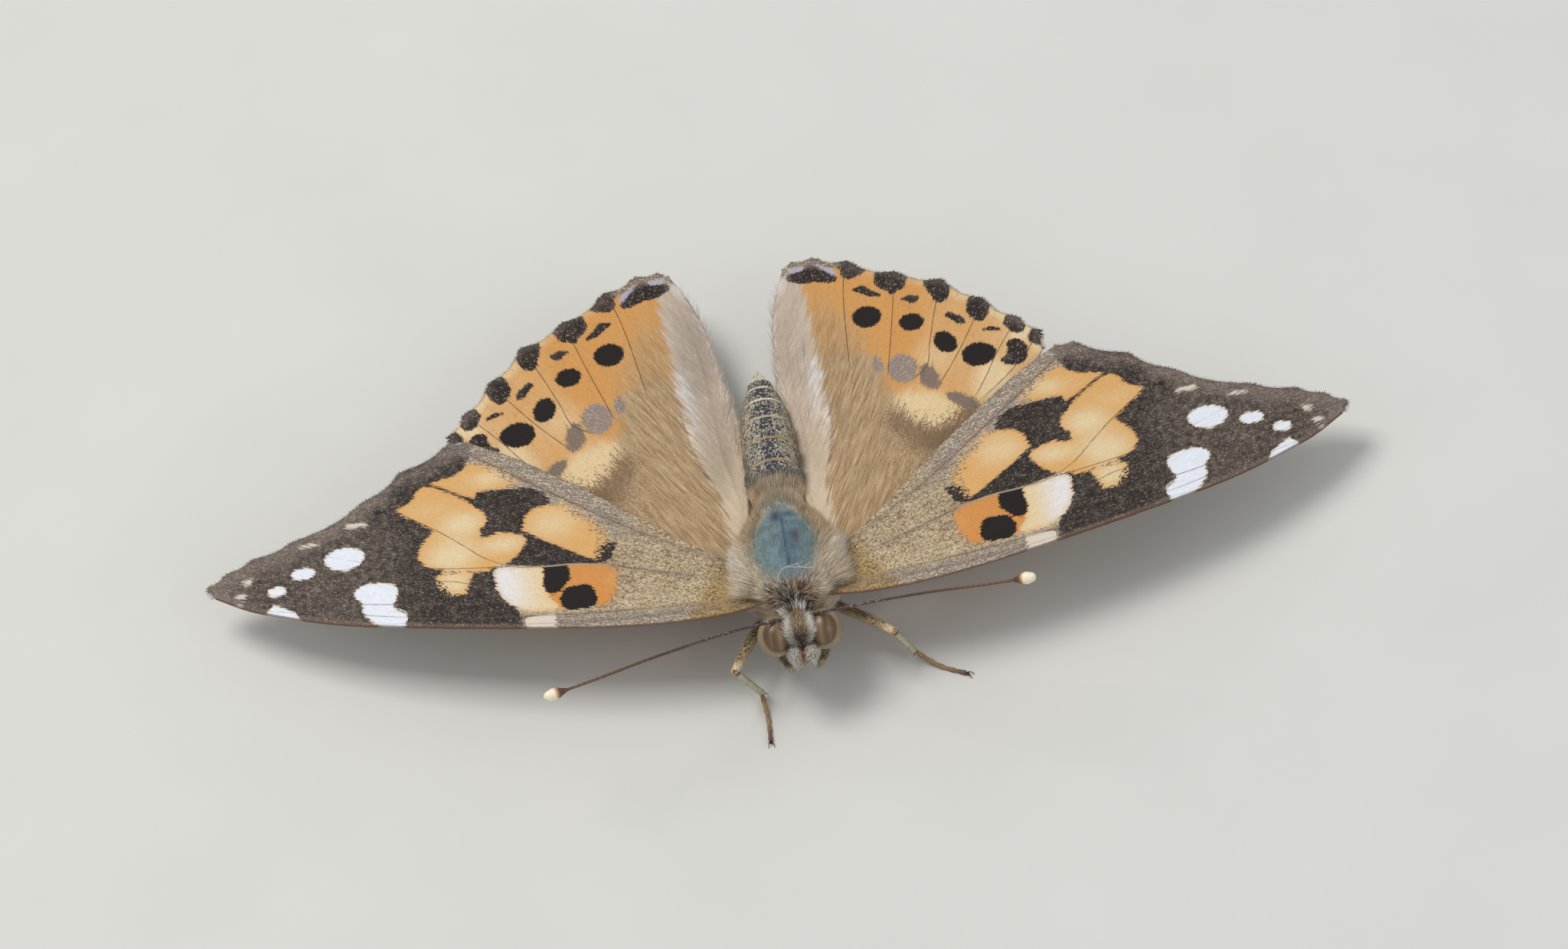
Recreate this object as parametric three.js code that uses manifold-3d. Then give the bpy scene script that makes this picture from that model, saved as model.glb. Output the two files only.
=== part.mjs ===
import * as THREE from 'three';
import { mergeVertices } from 'three/addons/utils/BufferGeometryUtils.js';
import Module from 'manifold-3d';

// Painted lady at rest with its wings spread flat, life size, in millimetres.
// +Z is up and the floor is z = 0. The head faces -Y, so +X is the animal's own left side.

const wasm = await Module();
wasm.setup();

// Driving dimensions
const GAP = 0.3;
const WING_THICKNESS = 0.5;
const WING_EDGE_ROUND = 0.12;
const WING_SPACING = 0.9;
const VEIN_HEIGHT = 0.16;
const VEIN_HALF_WIDTH = 0.32;
const WING_ROOT_X = 3;
const WING_REACH = 28.7;
const WING_LEVEL = 5.7;
const WING_CROWN = 0.5;
const WING_TIP_DROP = 2.5;
const NARROW_CELL = 0.8;
const WIDE_CELL = 3;
const FOOT_HEIGHT = 0.22;
const BODY_SIDES = 20;
const LIMB_SIDES = 8;
const LOCK_THICKNESS = 0.55;
const LOCK_RINGS = [
  { at: -0.25, wide: 0.7, thick: 1 },
  { at: 0.3, wide: 1, thick: 1 },
  { at: 0.72, wide: 0.72, thick: 0.7 },
];

// Wing plans are drawn along a line of sight that slopes down at 50 degrees, on the level PLAN_LEVEL.
// A plan point slides along that line to the height of its wing.
const PLAN_LEVEL = 5.2;
const PLAN_LEAN = 1 / Math.tan(THREE.MathUtils.degToRad(50));

const colours = {
  forewing: 0xd99a55,
  hindwing: 0xd08c4a,
  fur: 0x9a8a72,
  abdomen: 0x5b5144,
  head: 0xa08f78,
  eye: 0xa9794f,
  palp: 0xc9c4b6,
  antenna: 0x4a3328,
  leg: 0xb49a6e,
};

const { clamp, lerp, smoothstep } = THREE.MathUtils;
const vector = (point) => new THREE.Vector3(...point);

// Closed solids

function toSolid(geometry) {
  const bare = geometry.clone();
  bare.deleteAttribute('normal');
  bare.deleteAttribute('uv');
  const merged = mergeVertices(bare, 1e-4);
  return new wasm.Manifold(new wasm.Mesh({
    numProp: 3,
    vertProperties: new Float32Array(merged.attributes.position.array),
    triVerts: new Uint32Array(merged.index.array),
  }));
}

function toGeometry(solid) {
  const largest = solid.decompose().reduce((a, b) => (a.volume() > b.volume() ? a : b));
  const { vertProperties, triVerts } = largest.getMesh();
  const geometry = new THREE.BufferGeometry();
  geometry.setAttribute('position', new THREE.BufferAttribute(vertProperties, 3));
  geometry.setIndex(new THREE.BufferAttribute(triVerts, 1));
  return geometry;
}

function indexed(points, triangles) {
  const geometry = new THREE.BufferGeometry();
  geometry.setAttribute('position', new THREE.Float32BufferAttribute(points.flat(), 3));
  geometry.setIndex(triangles.flat());
  return geometry;
}

const join = (solids) => solids.reduce((a, b) => a.add(b));
const cut = (solid, tools) => tools.reduce((a, b) => a.subtract(b), solid);

// Rings of equal count between two poles, each ring wound so that the skin faces out
function closeRings(first, rings, last) {
  const count = rings[0].length;
  const points = [first, ...rings.flat(), last];
  const at = (ring, k) => 1 + ring * count + (k % count);
  const triangles = [];
  for (let k = 0; k < count; k++) {
    triangles.push([0, at(0, k + 1), at(0, k)]);
    for (let r = 0; r + 1 < rings.length; r++) {
      triangles.push([at(r, k), at(r, k + 1), at(r + 1, k + 1)]);
      triangles.push([at(r, k), at(r + 1, k + 1), at(r + 1, k)]);
    }
    triangles.push([points.length - 1, at(rings.length - 1, k), at(rings.length - 1, k + 1)]);
  }
  return toSolid(indexed(points, triangles));
}

function ellipsoid(centre, radii, turn = [0, 0, 0], sides = 12) {
  const geometry = new THREE.SphereGeometry(1, sides, Math.round(sides * 0.6));
  geometry.scale(...radii);
  geometry.rotateX(turn[0]);
  geometry.rotateY(turn[1]);
  geometry.rotateZ(turn[2]);
  geometry.translate(...centre);
  return toSolid(geometry);
}

// A tapered round limb along a curve. radiusAt takes 0 to 1 along the limb.
function limb(path, radiusAt, steps, sides = LIMB_SIDES) {
  const curve = new THREE.CatmullRomCurve3(path.map(vector), false, 'centripetal');
  const centres = curve.getSpacedPoints(steps);
  const rings = [];
  let across = new THREE.Vector3(0, 0, 1);
  centres.forEach((centre, i) => {
    const tangent = curve.getTangentAt(i / steps);
    across.addScaledVector(tangent, -across.dot(tangent));
    if (across.lengthSq() < 1e-3) {
      across = new THREE.Vector3(1, 0, 0).addScaledVector(tangent, -tangent.x);
    }
    across.normalize();
    const other = new THREE.Vector3().crossVectors(tangent, across);
    const end = i === 0 || i === steps;
    const radius = radiusAt(i / steps) * (end ? 0.7 : 1);
    rings.push(Array.from({ length: sides }, (_, k) => {
      const angle = (2 * Math.PI * k) / sides;
      return centre.clone()
        .addScaledVector(across, radius * Math.cos(angle))
        .addScaledVector(other, radius * Math.sin(angle))
        .toArray();
    }));
  });
  const first = centres[0].clone().addScaledVector(curve.getTangentAt(0), -0.5 * radiusAt(0));
  const last = centres[steps].clone().addScaledVector(curve.getTangentAt(1), 0.5 * radiusAt(1));
  return closeRings(first.toArray(), rings, last.toArray());
}

// A body lofted along Y through rings of half width, top and bottom, with a rounded end at each pole
function loftAlongY(rings, grow = 0) {
  const power = 0.9;
  const curl = (value) => Math.sign(value) * Math.abs(value) ** power;
  const first = rings[0];
  const last = rings[rings.length - 1];
  const sections = rings.map(({ y, half, top, bottom }, i) => {
    const middle = (top + bottom) / 2;
    const height = (top - bottom) / 2 + grow;
    const end = i === 0 ? -grow : i === rings.length - 1 ? grow : 0;
    return Array.from({ length: BODY_SIDES }, (_, k) => {
      const angle = (-2 * Math.PI * k) / BODY_SIDES;
      return [(half + grow) * curl(Math.cos(angle)), y + end, middle + height * curl(Math.sin(angle))];
    });
  });
  return closeRings(
    [0, first.y - grow - first.cap, (first.top + first.bottom) / 2],
    sections,
    [0, last.y + grow + last.cap, (last.top + last.bottom) / 2],
  );
}

// A smooth profile through a list of stations: t runs from 0 at the first to 1 at the last
function profile(stations) {
  const keys = ['half', 'top', 'bottom'];
  const curves = keys.map((key) => new THREE.CatmullRomCurve3(
    stations.map((s) => new THREE.Vector3(s.y, s[key], 0)), false, 'centripetal',
  ));
  return (t) => {
    const [half, top, bottom] = curves.map((curve) => curve.getPoint(t));
    return { y: half.x, half: half.y, top: top.y, bottom: bottom.y, cap: 0 };
  };
}

// A point on a lofted body and its outward normal. The angle runs from +X up over the back.
function onBody(ringAt, t, degrees) {
  const point = (u, angle) => {
    const { y, half, top, bottom } = ringAt(u);
    return new THREE.Vector3(
      half * Math.cos(angle),
      y,
      (top + bottom) / 2 + ((top - bottom) / 2) * Math.sin(angle),
    );
  };
  const angle = THREE.MathUtils.degToRad(degrees);
  const h = 1e-3;
  const place = point(t, angle);
  const along = point(t + h, angle).sub(place);
  const around = point(t, angle + h).sub(place);
  return { place, normal: along.cross(around).normalize() };
}

// A flat lock of hair, widest near its sunk root, that tapers to a point and bends back to the coat
function lock({ place, normal }, lie, length, width, lift) {
  const flow = lie.clone().addScaledVector(normal, -lie.dot(normal)).normalize();
  const side = new THREE.Vector3().crossVectors(normal, flow);
  const rings = LOCK_RINGS.map(({ at, wide, thick }) => {
    const rise = lift * length * Math.sin(0.75 * Math.PI * clamp(at, 0, 1)) + Math.min(at, 0) * length;
    const centre = place.clone().addScaledVector(flow, at * length).addScaledVector(normal, rise);
    return [0, 1, 2, 3].map((k) => {
      const angle = (k * Math.PI) / 2;
      return centre.clone()
        .addScaledVector(side, 0.5 * width * wide * Math.cos(angle))
        .addScaledVector(normal, 0.5 * LOCK_THICKNESS * thick * Math.sin(angle))
        .toArray();
    });
  });
  const root = place.clone().addScaledVector(flow, -0.4 * length).addScaledVector(normal, -0.5 * length);
  const tip = place.clone().addScaledVector(flow, length).addScaledVector(normal, lift * length * 0.6);
  return closeRings(root.toArray(), rings, tip.toArray());
}

// A seeded draw between 0 and 1, for the small differences between like locks
function seeded(seed) {
  let state = seed;
  return () => {
    state = (state * 1664525 + 1013904223) % 4294967296;
    return state / 4294967296;
  };
}

// Locks in rows across a body. Each row has its place along the body, its angles and its lie.
function lockRows(ringAt, rows, seed) {
  const draw = seeded(seed);
  return rows.flatMap(({ t, angles, lie, length, width, lift }) => angles.map((degrees) => {
    const root = onBody(ringAt, t + 0.03 * (draw() - 0.5), degrees + 6 * (draw() - 0.5));
    const turn = new THREE.Vector3(0.3 * (draw() - 0.5), 0, 0.3 * (draw() - 0.5));
    return lock(root, vector(lie).add(turn), length * (0.85 + 0.3 * draw()), width, lift);
  }));
}

// Thorax: a domed barrel with the shoulder covers over the wing roots, a collar and a scutellum
const thoraxStations = [
  { y: -3.75, half: 1.25, top: 5.85, bottom: 3.3 },
  { y: -3.1, half: 1.9, top: 6.65, bottom: 2.6 },
  { y: -2.0, half: 2.45, top: 7.15, bottom: 2.1 },
  { y: -0.8, half: 2.75, top: 7.35, bottom: 1.85 },
  { y: 0.6, half: 2.75, top: 7.25, bottom: 1.8 },
  { y: 1.9, half: 2.4, top: 6.9, bottom: 2.1 },
  { y: 3.0, half: 1.8, top: 6.3, bottom: 2.8 },
  { y: 3.7, half: 1.3, top: 5.9, bottom: 3.4 },
];

function thoraxSolid(grow = 0) {
  const ringAt = profile(thoraxStations);
  const rings = Array.from({ length: 14 }, (_, i) => ringAt(i / 13));
  rings[0].cap = 0.25;
  rings[rings.length - 1].cap = 0.25;
  const pieces = [loftAlongY(rings, grow)];
  for (const side of [-1, 1]) {
    pieces.push(ellipsoid(
      [side * 2.15, -1.3, 6.2],
      [0.75 + grow, 1.75 + grow, 0.62 + grow],
      [0, side * 0.45, side * -0.18],
    ));
    pieces.push(ellipsoid(
      [side * 0.85, -3.25, 6.25],
      [0.8 + grow, 0.5 + grow, 0.42 + grow],
      [0.5, side * 0.25, side * -0.2],
    ));
  }
  pieces.push(ellipsoid([0, 2.3, 6.75], [1.15 + grow, 0.8 + grow, 0.42 + grow], [-0.3, 0, 0]));
  return join(pieces);
}

// The long hair of the thorax: a collar, a fringe round the bare back, a mane over the waist and a
// shaggy chest, all clear of the wing roots, the legs and the neck
const thoraxLocks = [
  { t: 0.17, angles: [52, 77, 103, 128], lie: [0, 1, 0.6], length: 1.1, width: 0.85, lift: 0.35 },
  { t: 0.33, angles: [52, 68, 112, 128], lie: [0, 1, 0.1], length: 1.3, width: 0.85, lift: 0.25 },
  { t: 0.52, angles: [46, 62, 118, 134], lie: [0, 1, 0], length: 1.3, width: 0.85, lift: 0.22 },
  { t: 0.68, angles: [44, 60, 78, 102, 120, 136], lie: [0, 1, 0], length: 1.3, width: 0.85, lift: 0.25 },
  { t: 0.84, angles: [50, 70, 90, 110, 130], lie: [0, 1, -0.2], length: 1.1, width: 0.8, lift: 0.35 },
  { t: 0.36, angles: [262, 278], lie: [0, 1, 0], length: 1.2, width: 0.85, lift: 0.3 },
  { t: 0.54, angles: [256, 284], lie: [0, 1, 0], length: 1.2, width: 0.85, lift: 0.3 },
  { t: 0.66, angles: [212, 328], lie: [0, 1, -0.4], length: 1.2, width: 0.8, lift: 0.22 },
];

function shaggyThorax() {
  return join([thoraxSolid(), ...lockRows(profile(thoraxStations), thoraxLocks, 7)]);
}

// Abdomen: overlapping rings that flare a little towards their rear edge, down to a tufted tip
const ABDOMEN = { front: 3.1, rear: 14.6, frontHeight: 4.95, rearHeight: 3.15, segments: 7 };

function abdomenRadius(t) {
  const waist = lerp(1.2, 1.6, smoothstep(t, 0, 0.28));
  return waist * Math.sqrt(1 - 0.92 * smoothstep(t, 0.45, 1.06) ** 1.6);
}

function abdomenSolid(grow = 0) {
  const rings = [];
  const perSegment = 3;
  const count = ABDOMEN.segments * perSegment;
  for (let i = 0; i <= count; i++) {
    const within = (i % perSegment) / (perSegment - 1);
    const t = i === count ? 1 : (Math.floor(i / perSegment) + 0.03 + 0.9 * within) / ABDOMEN.segments;
    const flare = i === count ? 0.94 : 0.955 + 0.07 * within;
    const radius = abdomenRadius(t) * flare;
    const middle = lerp(ABDOMEN.frontHeight, ABDOMEN.rearHeight, t) - 0.25 * Math.sin(Math.PI * t);
    rings.push({
      y: lerp(ABDOMEN.front, ABDOMEN.rear, t),
      half: radius,
      top: middle + 1.02 * radius,
      bottom: middle - 1.02 * radius,
      cap: 0,
    });
  }
  rings[0].cap = 0.1;
  rings[count].cap = 0.3;
  return loftAlongY(rings, grow);
}

// The abdomen ends in a short brush of hair
function tuftedAbdomen() {
  const end = new THREE.Vector3(0, ABDOMEN.rear - 0.25, ABDOMEN.rearHeight);
  const locks = Array.from({ length: 5 }, (_, k) => {
    const angle = (2 * Math.PI * (k + 0.5)) / 5;
    const normal = new THREE.Vector3(Math.cos(angle), 0.25, Math.sin(angle)).normalize();
    const place = end.clone().addScaledVector(normal, 0.42);
    return lock({ place, normal }, new THREE.Vector3(0, 1, 0), 0.9, 0.6, -0.12);
  });
  return join([abdomenSolid(), ...locks]);
}

// Head: a narrow capsule between two large eyes, with a tufted brow and the mouth parts below
const HEAD_CENTRE = [0, -4.85, 4.7];

function headSolid(grow = 0) {
  return join([
    ellipsoid(HEAD_CENTRE, [0.85 + grow, 1.3 + grow, 1.35 + grow], [0, 0, 0], 16),
    ellipsoid([0, -5.65, 5.15], [0.62 + grow, 0.55 + grow, 0.62 + grow]),
    ellipsoid([0, -5.55, 3.95], [0.5 + grow, 0.5 + grow, 0.5 + grow]),
    ellipsoid([0, -3.9, 4.6], [1.15 + grow, 0.75 + grow, 1.2 + grow]),
  ]);
}

// The brow is a brush of hair that stands forward and up between the eyes
function tuftedHead() {
  const locks = [];
  for (const [height, forward] of [[5.55, -5.75], [4.95, -6.05], [4.35, -5.95]]) {
    for (const side of [-1, 1]) {
      const normal = new THREE.Vector3(side * 0.45, -0.75, 0.35).normalize();
      const place = new THREE.Vector3(side * 0.28, forward, height);
      locks.push(lock({ place, normal }, new THREE.Vector3(side * 0.1, -0.4, 1), 0.8, 0.55, 0.35));
    }
  }
  return join([headSolid(), ...locks]);
}

function eyeSolid(side, grow = 0) {
  return ellipsoid(
    [side * 1.3, -4.9, 4.72],
    [1.05 + grow, 1.15 + grow, 1.22 + grow],
    [0, 0, 0],
    16,
  );
}

// Palps: two furry snouts that point forward and up between the eyes
function palpSolid(side) {
  const path = [
    [side * 0.62, -5.3, 3.75],
    [side * 0.62, -6.0, 3.7],
    [side * 0.6, -6.7, 4.0],
    [side * 0.55, -7.35, 4.55],
  ];
  const locks = [0.45, 0.8].flatMap((t) => [-1, 1].map((up) => {
    const curve = new THREE.CatmullRomCurve3(path.map(vector), false, 'centripetal');
    const normal = new THREE.Vector3(side * 0.25, 0, up).normalize();
    const place = curve.getPointAt(t).addScaledVector(normal, 0.36);
    return lock({ place, normal }, curve.getTangentAt(t), 0.8, 0.5, 0.12);
  }));
  return join([limb(path, (t) => lerp(0.45, 0.3, t ** 2), 7, 10), ...locks]);
}

// Antennae: thin shafts that end in a flattened club
const antennaPaths = {
  right: [
    [-0.5, -4.5, 5.6],
    [-3.4, -5.75, 6.8],
    [-7.6, -7.5, 7.95],
    [-11.2, -8.7, 8.3],
    [-13.9, -9.25, 8.2],
  ],
  left: [
    [0.5, -4.5, 5.6],
    [3.6, -5.9, 7.5],
    [6.9, -7.35, 9.35],
    [10.2, -8.7, 10.85],
    [12.7, -9.45, 11.75],
  ],
};

function antennaSolid(name) {
  const radiusAt = (t) => lerp(0.26, 0.45, smoothstep(t, 0.82, 0.93));
  return limb(antennaPaths[name], (t) => radiusAt(t) * (t === 1 ? 0.7 : 1), 18);
}

// Legs: the first pair is small and folded under the chest, the other two pairs stand
const legPaths = {
  midleg_right: {
    hip: [-1.2, -1.0, 2.6],
    knee: [-3.8, -5.9, 3.6],
    ankle: [-2.58, -5.2, 0.55],
    sole: [-2.45, -6.6, FOOT_HEIGHT],
    toe: [-2.5, -8.35, FOOT_HEIGHT],
  },
  midleg_left: {
    hip: [1.2, -1.0, 2.6],
    knee: [4.97, -4.76, 3.4],
    ankle: [5.9, -4.2, 0.75],
    sole: [7.2, -5.1, FOOT_HEIGHT],
    toe: [8.56, -5.9, FOOT_HEIGHT],
  },
  hindleg_right: {
    hip: [-1.1, 1.9, 2.8],
    knee: [-4.1, 5.3, 3.45],
    ankle: [-5.0, 7.7, 0.55],
    sole: [-5.3, 9.0, FOOT_HEIGHT],
    toe: [-5.6, 10.9, FOOT_HEIGHT],
  },
  hindleg_left: {
    hip: [1.1, 1.9, 2.8],
    knee: [4.3, 5.0, 3.45],
    ankle: [5.5, 7.2, 0.55],
    sole: [6.1, 8.5, FOOT_HEIGHT],
    toe: [6.9, 10.2, FOOT_HEIGHT],
  },
};

const floorBlock = toSolid(new THREE.BoxGeometry(60, 60, 2).translate(0, 0, -1));

function legSolid({ hip, knee, ankle, sole, toe }) {
  const bones = [
    limb([hip, knee], (t) => lerp(0.34, 0.27, t), 2),
    limb([knee, ankle], (t) => lerp(0.27, 0.25, t), 2),
    limb([ankle, sole, toe], () => 0.27, 7),
  ];
  return join(bones).subtract(floorBlock);
}

function forelegSolid(side) {
  const path = [
    [side * 0.9, -2.2, 2.5],
    [side * 1.25, -3.6, 2.1],
    [side * 1.1, -4.8, 2.35],
    [side * 0.75, -5.7, 2.75],
  ];
  return limb(path, (t) => lerp(0.36, 0.25, t), 8);
}

// Wing plans. A vein is a list of plan points, x out from the midline and y back. It may leave another
// vein at one of that vein's steps, and may run into another vein at a step, as the real ones branch.
const forewing = {
  steps: 14,
  notch: 0.07,
  order: ['costa', 'subcosta', 'radius1', 'radius3', 'radius', 'medial1', 'medial2', 'medial3',
    'cubital1', 'cubital2', 'anal', 'inner'],
  veins: {
    costa: { points: [[2, -2.95], [6, -3.05], [10, -2.6], [18, -1], [25, 0.75], [30, 2.9], [31.2, 3.8]] },
    radius: { points: [[2, -2.3], [9, -1.7], [14.9, -0.9], [21.2, 0.4], [26, 1.9], [30, 3.5], [31.6, 4.6]] },
    cubital1: { points: [[2, -1.3], [7, 0.6], [10.5, 1.9], [15.2, 2.8], [18.3, 5.7], [20.9, 7.9], [22.4, 8.85]] },
    subcosta: { points: [[2, -2.65], [10, -2.15]], into: ['costa', 8] },
    radius1: { from: ['radius', 5], points: [], into: ['costa', 10] },
    radius3: { from: ['radius', 9], points: [], into: ['costa', 13] },
    medial1: { from: ['radius', 6], points: [[17.2, 0.45], [21.5, 1.35], [28, 3.1], [30.4, 5.4]] },
    medial2: { from: ['radius', 6], points: [[16.5, 1.5], [21, 2.9], [26.9, 4.1], [28.9, 6.1]] },
    medial3: { from: ['cubital1', 8], points: [[19.5, 3.5], [25, 5.6], [26.6, 6.85]] },
    cubital2: { from: ['cubital1', 5], points: [[13.9, 4.9], [16.3, 7.6], [18.8, 9.35], [20.2, 10.5]] },
    anal: { points: [[2, -0.6], [9, 4.6], [12, 7.2], [14.5, 9.4], [17.4, 11.9]] },
    inner: { points: [[2, 0.1], [3.1, 0.5], [9.3, 6.3], [11.2, 8], [13.9, 10.3], [16.3, 11.85]] },
  },
};

const hindwing = {
  steps: 12,
  notch: 0.13,
  order: ['costa', 'sector', 'medial1', 'medial2', 'medial3', 'cubital1', 'cubital2', 'anal2',
    'anal3', 'inner'],
  veins: {
    costa: { points: [[2, -0.3], [6, 1.5], [10.5, 4.7], [14.2, 8.1], [16.4, 11.1]] },
    sector: { points: [[2, 0.9], [7, 4.7], [11.5, 8.6], [14.5, 10.9], [16.55, 12.55]] },
    cubital1: { points: [[2, 2.4], [5, 6.5], [7.2, 10.2], [7.9, 12.7], [8.5, 15.2], [9.3, 18.95]] },
    medial1: { from: ['sector', 6], points: [[11.4, 9.6], [13.7, 12.2], [15.45, 13.85]] },
    medial2: { from: ['sector', 4], points: [[9.6, 9], [11.3, 11.4], [12.9, 14], [13.75, 15.75]] },
    medial3: { from: ['cubital1', 6], points: [[8.9, 12], [10.2, 14.3], [11.75, 17.75]] },
    cubital2: { from: ['cubital1', 4], points: [[5.5, 10.5], [5.8, 14.5], [6.3, 18.6], [6.8, 20.45]] },
    anal2: { points: [[2, 3.1], [3.4, 6], [3.8, 10], [4.1, 15], [4.9, 21.2]] },
    anal3: { points: [[2, 3.6], [2.6, 8], [2.65, 13], [2.95, 17], [3.75, 21.15]] },
    inner: { points: [[1.8, 4.2], [1.5, 8], [1.45, 12], [1.75, 16], [2.55, 19.2], [3.15, 20.7]] },
  },
  crease: { x: 3.9, width: 2.2, depth: 1.5 },
};

// The hindwings are swept a little apart from each other: turn in radians about the hinge, and size
const hindwingPose = {
  left: { turn: THREE.MathUtils.degToRad(2.4), size: 0.975 },
  right: { turn: THREE.MathUtils.degToRad(-2.4), size: 1.02 },
};
const HINGE = [2.8, 1.0];

function wingHeight(x) {
  const t = (x - WING_ROOT_X) / WING_REACH;
  return WING_LEVEL + WING_CROWN * Math.sin(Math.PI * t) - WING_TIP_DROP * t * t;
}

function slide(x, y, z) {
  return new THREE.Vector3(x, y - PLAN_LEAN * (z - PLAN_LEVEL), z);
}

function forewingPoint(x, y) {
  return slide(x, y, wingHeight(x));
}

// The hindwing lies under the forewing, sags towards the rear and drops to the abdomen inside its crease
function hindwingPoint(x, y, { turn, size }) {
  const dx = x - HINGE[0];
  const dy = y - HINGE[1];
  const px = HINGE[0] + size * (dx * Math.cos(turn) - dy * Math.sin(turn));
  const py = HINGE[1] + size * (dx * Math.sin(turn) + dy * Math.cos(turn));
  const { crease } = hindwing;
  const inside = clamp((crease.x - x) / crease.width, 0, 1);
  const fold = crease.depth * inside * inside * (3 - 2 * inside)
    * smoothstep(y, 3, 7) * (1 - smoothstep(y, 15, 21));
  const sag = 0.006 * Math.max(0, y - 8) ** 2;
  return slide(px, py, wingHeight(px) - WING_SPACING - sag - fold);
}

// Plan points of every vein at each step from the root to the margin
function traceVeins({ steps, veins }) {
  const lines = {};
  for (const [name, { from, points, into }] of Object.entries(veins)) {
    const start = from ? from[1] : 0;
    const end = into ? into[1] : steps;
    const path = [...points];
    if (from) path.unshift(lines[from[0]][start]);
    if (into) path.push(lines[into[0]][end]);
    const curve = new THREE.CatmullRomCurve3(path.map(([x, y]) => new THREE.Vector3(x, y, 0)), false, 'centripetal');
    const own = curve.getSpacedPoints(end - start).map((p) => [p.x, p.y]);
    lines[name] = Array.from({ length: steps + 1 }, (_, j) => {
      if (j < start) return lines[from[0]][j];
      if (j > end) return lines[into[0]][j];
      return own[j - start];
    });
  }
  return lines;
}

// A membrane whose mesh runs along its veins: each vein is a crest between two feet, and the two faces
// are split alike.
function wingSolid(plan, pointAt, ridges) {
  const { steps, notch, order } = plan;
  const lines = traceVeins(plan);
  const rows = [];
  order.forEach((name, v) => {
    const vein = lines[name];
    const edge = v === order.length - 1;
    rows.push(vein.map(([x, y]) => ({ x, y, crest: edge ? 0 : 1, name })));
    if (edge) return;
    const next = lines[order[v + 1]];
    const widths = vein.map(([x, y], j) => Math.hypot(next[j][0] - x, next[j][1] - y));
    const widest = Math.max(...widths);
    const strips = widest < NARROW_CELL ? 1 : widest < WIDE_CELL ? 2 : 3;
    for (let place = 0; place <= strips; place++) {
      rows.push(vein.map(([x, y], j) => {
        const [nx, ny] = next[j];
        const distance = widths[j];
        const foot = Math.min(VEIN_HALF_WIDTH / Math.max(distance, 1e-6), 0.26);
        const s = lerp(foot, 1 - foot, place / strips);
        const crest = 1 - smoothstep(distance, 0, 3 * VEIN_HALF_WIDTH);
        const point = { x: lerp(x, nx, s), y: lerp(y, ny, s), crest, name };
        if (j === steps) {
          const [bx, by] = [lerp(vein[j - 1][0], next[j - 1][0], s), lerp(vein[j - 1][1], next[j - 1][1], s)];
          const length = Math.hypot(point.x - bx, point.y - by);
          const pull = (notch * distance * Math.sin(Math.PI * s)) / length;
          point.x = lerp(point.x, bx, pull);
          point.y = lerp(point.y, by, pull);
        }
        return point;
      }));
    }
  });

  const points = [];
  const seen = new Map();
  const ids = rows.map((row) => row.map(({ x, y, crest, name }, j) => {
    const key = `${x.toFixed(4)} ${y.toFixed(4)}`;
    if (!seen.has(key)) {
      const h = 0.01;
      const middle = pointAt(x, y);
      const dx = pointAt(x + h, y).sub(middle);
      const dy = pointAt(x, y + h).sub(middle);
      const normal = new THREE.Vector3().crossVectors(dx, dy).normalize();
      const rise = VEIN_HEIGHT * crest * (1 - 0.6 * (j / steps));
      const { above, below } = ridges(name, x, y);
      seen.set(key, points.length);
      points.push({ middle, normal, top: WING_THICKNESS / 2 + rise * above, bottom: WING_THICKNESS / 2 + rise * below });
    }
    return seen.get(key);
  }));

  const count = points.length;
  const vertices = [
    ...points.map(({ middle, normal, top }) => middle.clone().addScaledVector(normal, top)),
    ...points.map(({ middle, normal, bottom }) => middle.clone().addScaledVector(normal, -bottom)),
  ];
  const triangles = [];
  const face = (a, b, c) => {
    if (a === b || b === c || a === c) return;
    triangles.push([a, b, c], [a + count, c + count, b + count]);
  };
  for (let i = 0; i + 1 < ids.length; i++) {
    for (let j = 0; j < steps; j++) {
      face(ids[i][j], ids[i][j + 1], ids[i + 1][j + 1]);
      face(ids[i][j], ids[i + 1][j + 1], ids[i + 1][j]);
    }
  }

  // The rim runs round the plan, with a middle row pushed out so that the edge is rounded
  const last = ids.length - 1;
  const loop = [
    ...ids[0].slice(0, steps),
    ...ids.map((row) => row[steps]).slice(0, last),
    ...ids[last].slice(1).reverse(),
    ...ids.map((row) => row[0]).slice(1).reverse(),
  ].filter((id, k, all) => id !== all[(k + 1) % all.length]);
  loop.forEach((id, k) => {
    const before = points[loop[(k + loop.length - 1) % loop.length]].middle;
    const after = points[loop[(k + 1) % loop.length]].middle;
    const { middle, normal } = points[id];
    const outward = after.clone().sub(before).cross(normal).normalize();
    vertices.push(middle.clone().addScaledVector(outward, WING_EDGE_ROUND));
  });
  loop.forEach((id, k) => {
    const next = (k + 1) % loop.length;
    const [p, q] = [id, loop[next]];
    const [mp, mq] = [2 * count + k, 2 * count + next];
    triangles.push([p + count, q + count, mq], [p + count, mq, mp], [mp, mq, q], [mp, q, p]);
  });
  return toSolid(indexed(vertices.map((v) => v.toArray()), triangles));
}

function forewingSolid() {
  const bare = ['cubital2', 'anal', 'inner'];
  return wingSolid(forewing, forewingPoint, (name) => ({ above: 1, below: bare.includes(name) ? 0 : 0.6 }));
}

// Where the forewing covers the hindwing, the hindwing's upper face stays smooth
function hindwingSolid(side) {
  const pose = hindwingPose[side];
  const cover = { x: 9.3, y: 6.3, slope: 0.79 };
  return wingSolid(hindwing, (x, y) => hindwingPoint(x, y, pose), (name, x, y) => ({
    above: smoothstep(y - (cover.y + cover.slope * (x - cover.x)), 0.6, 1.6),
    below: 0.6,
  }));
}

const mirrored = (solid) => solid.mirror([1, 0, 0]);

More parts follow.
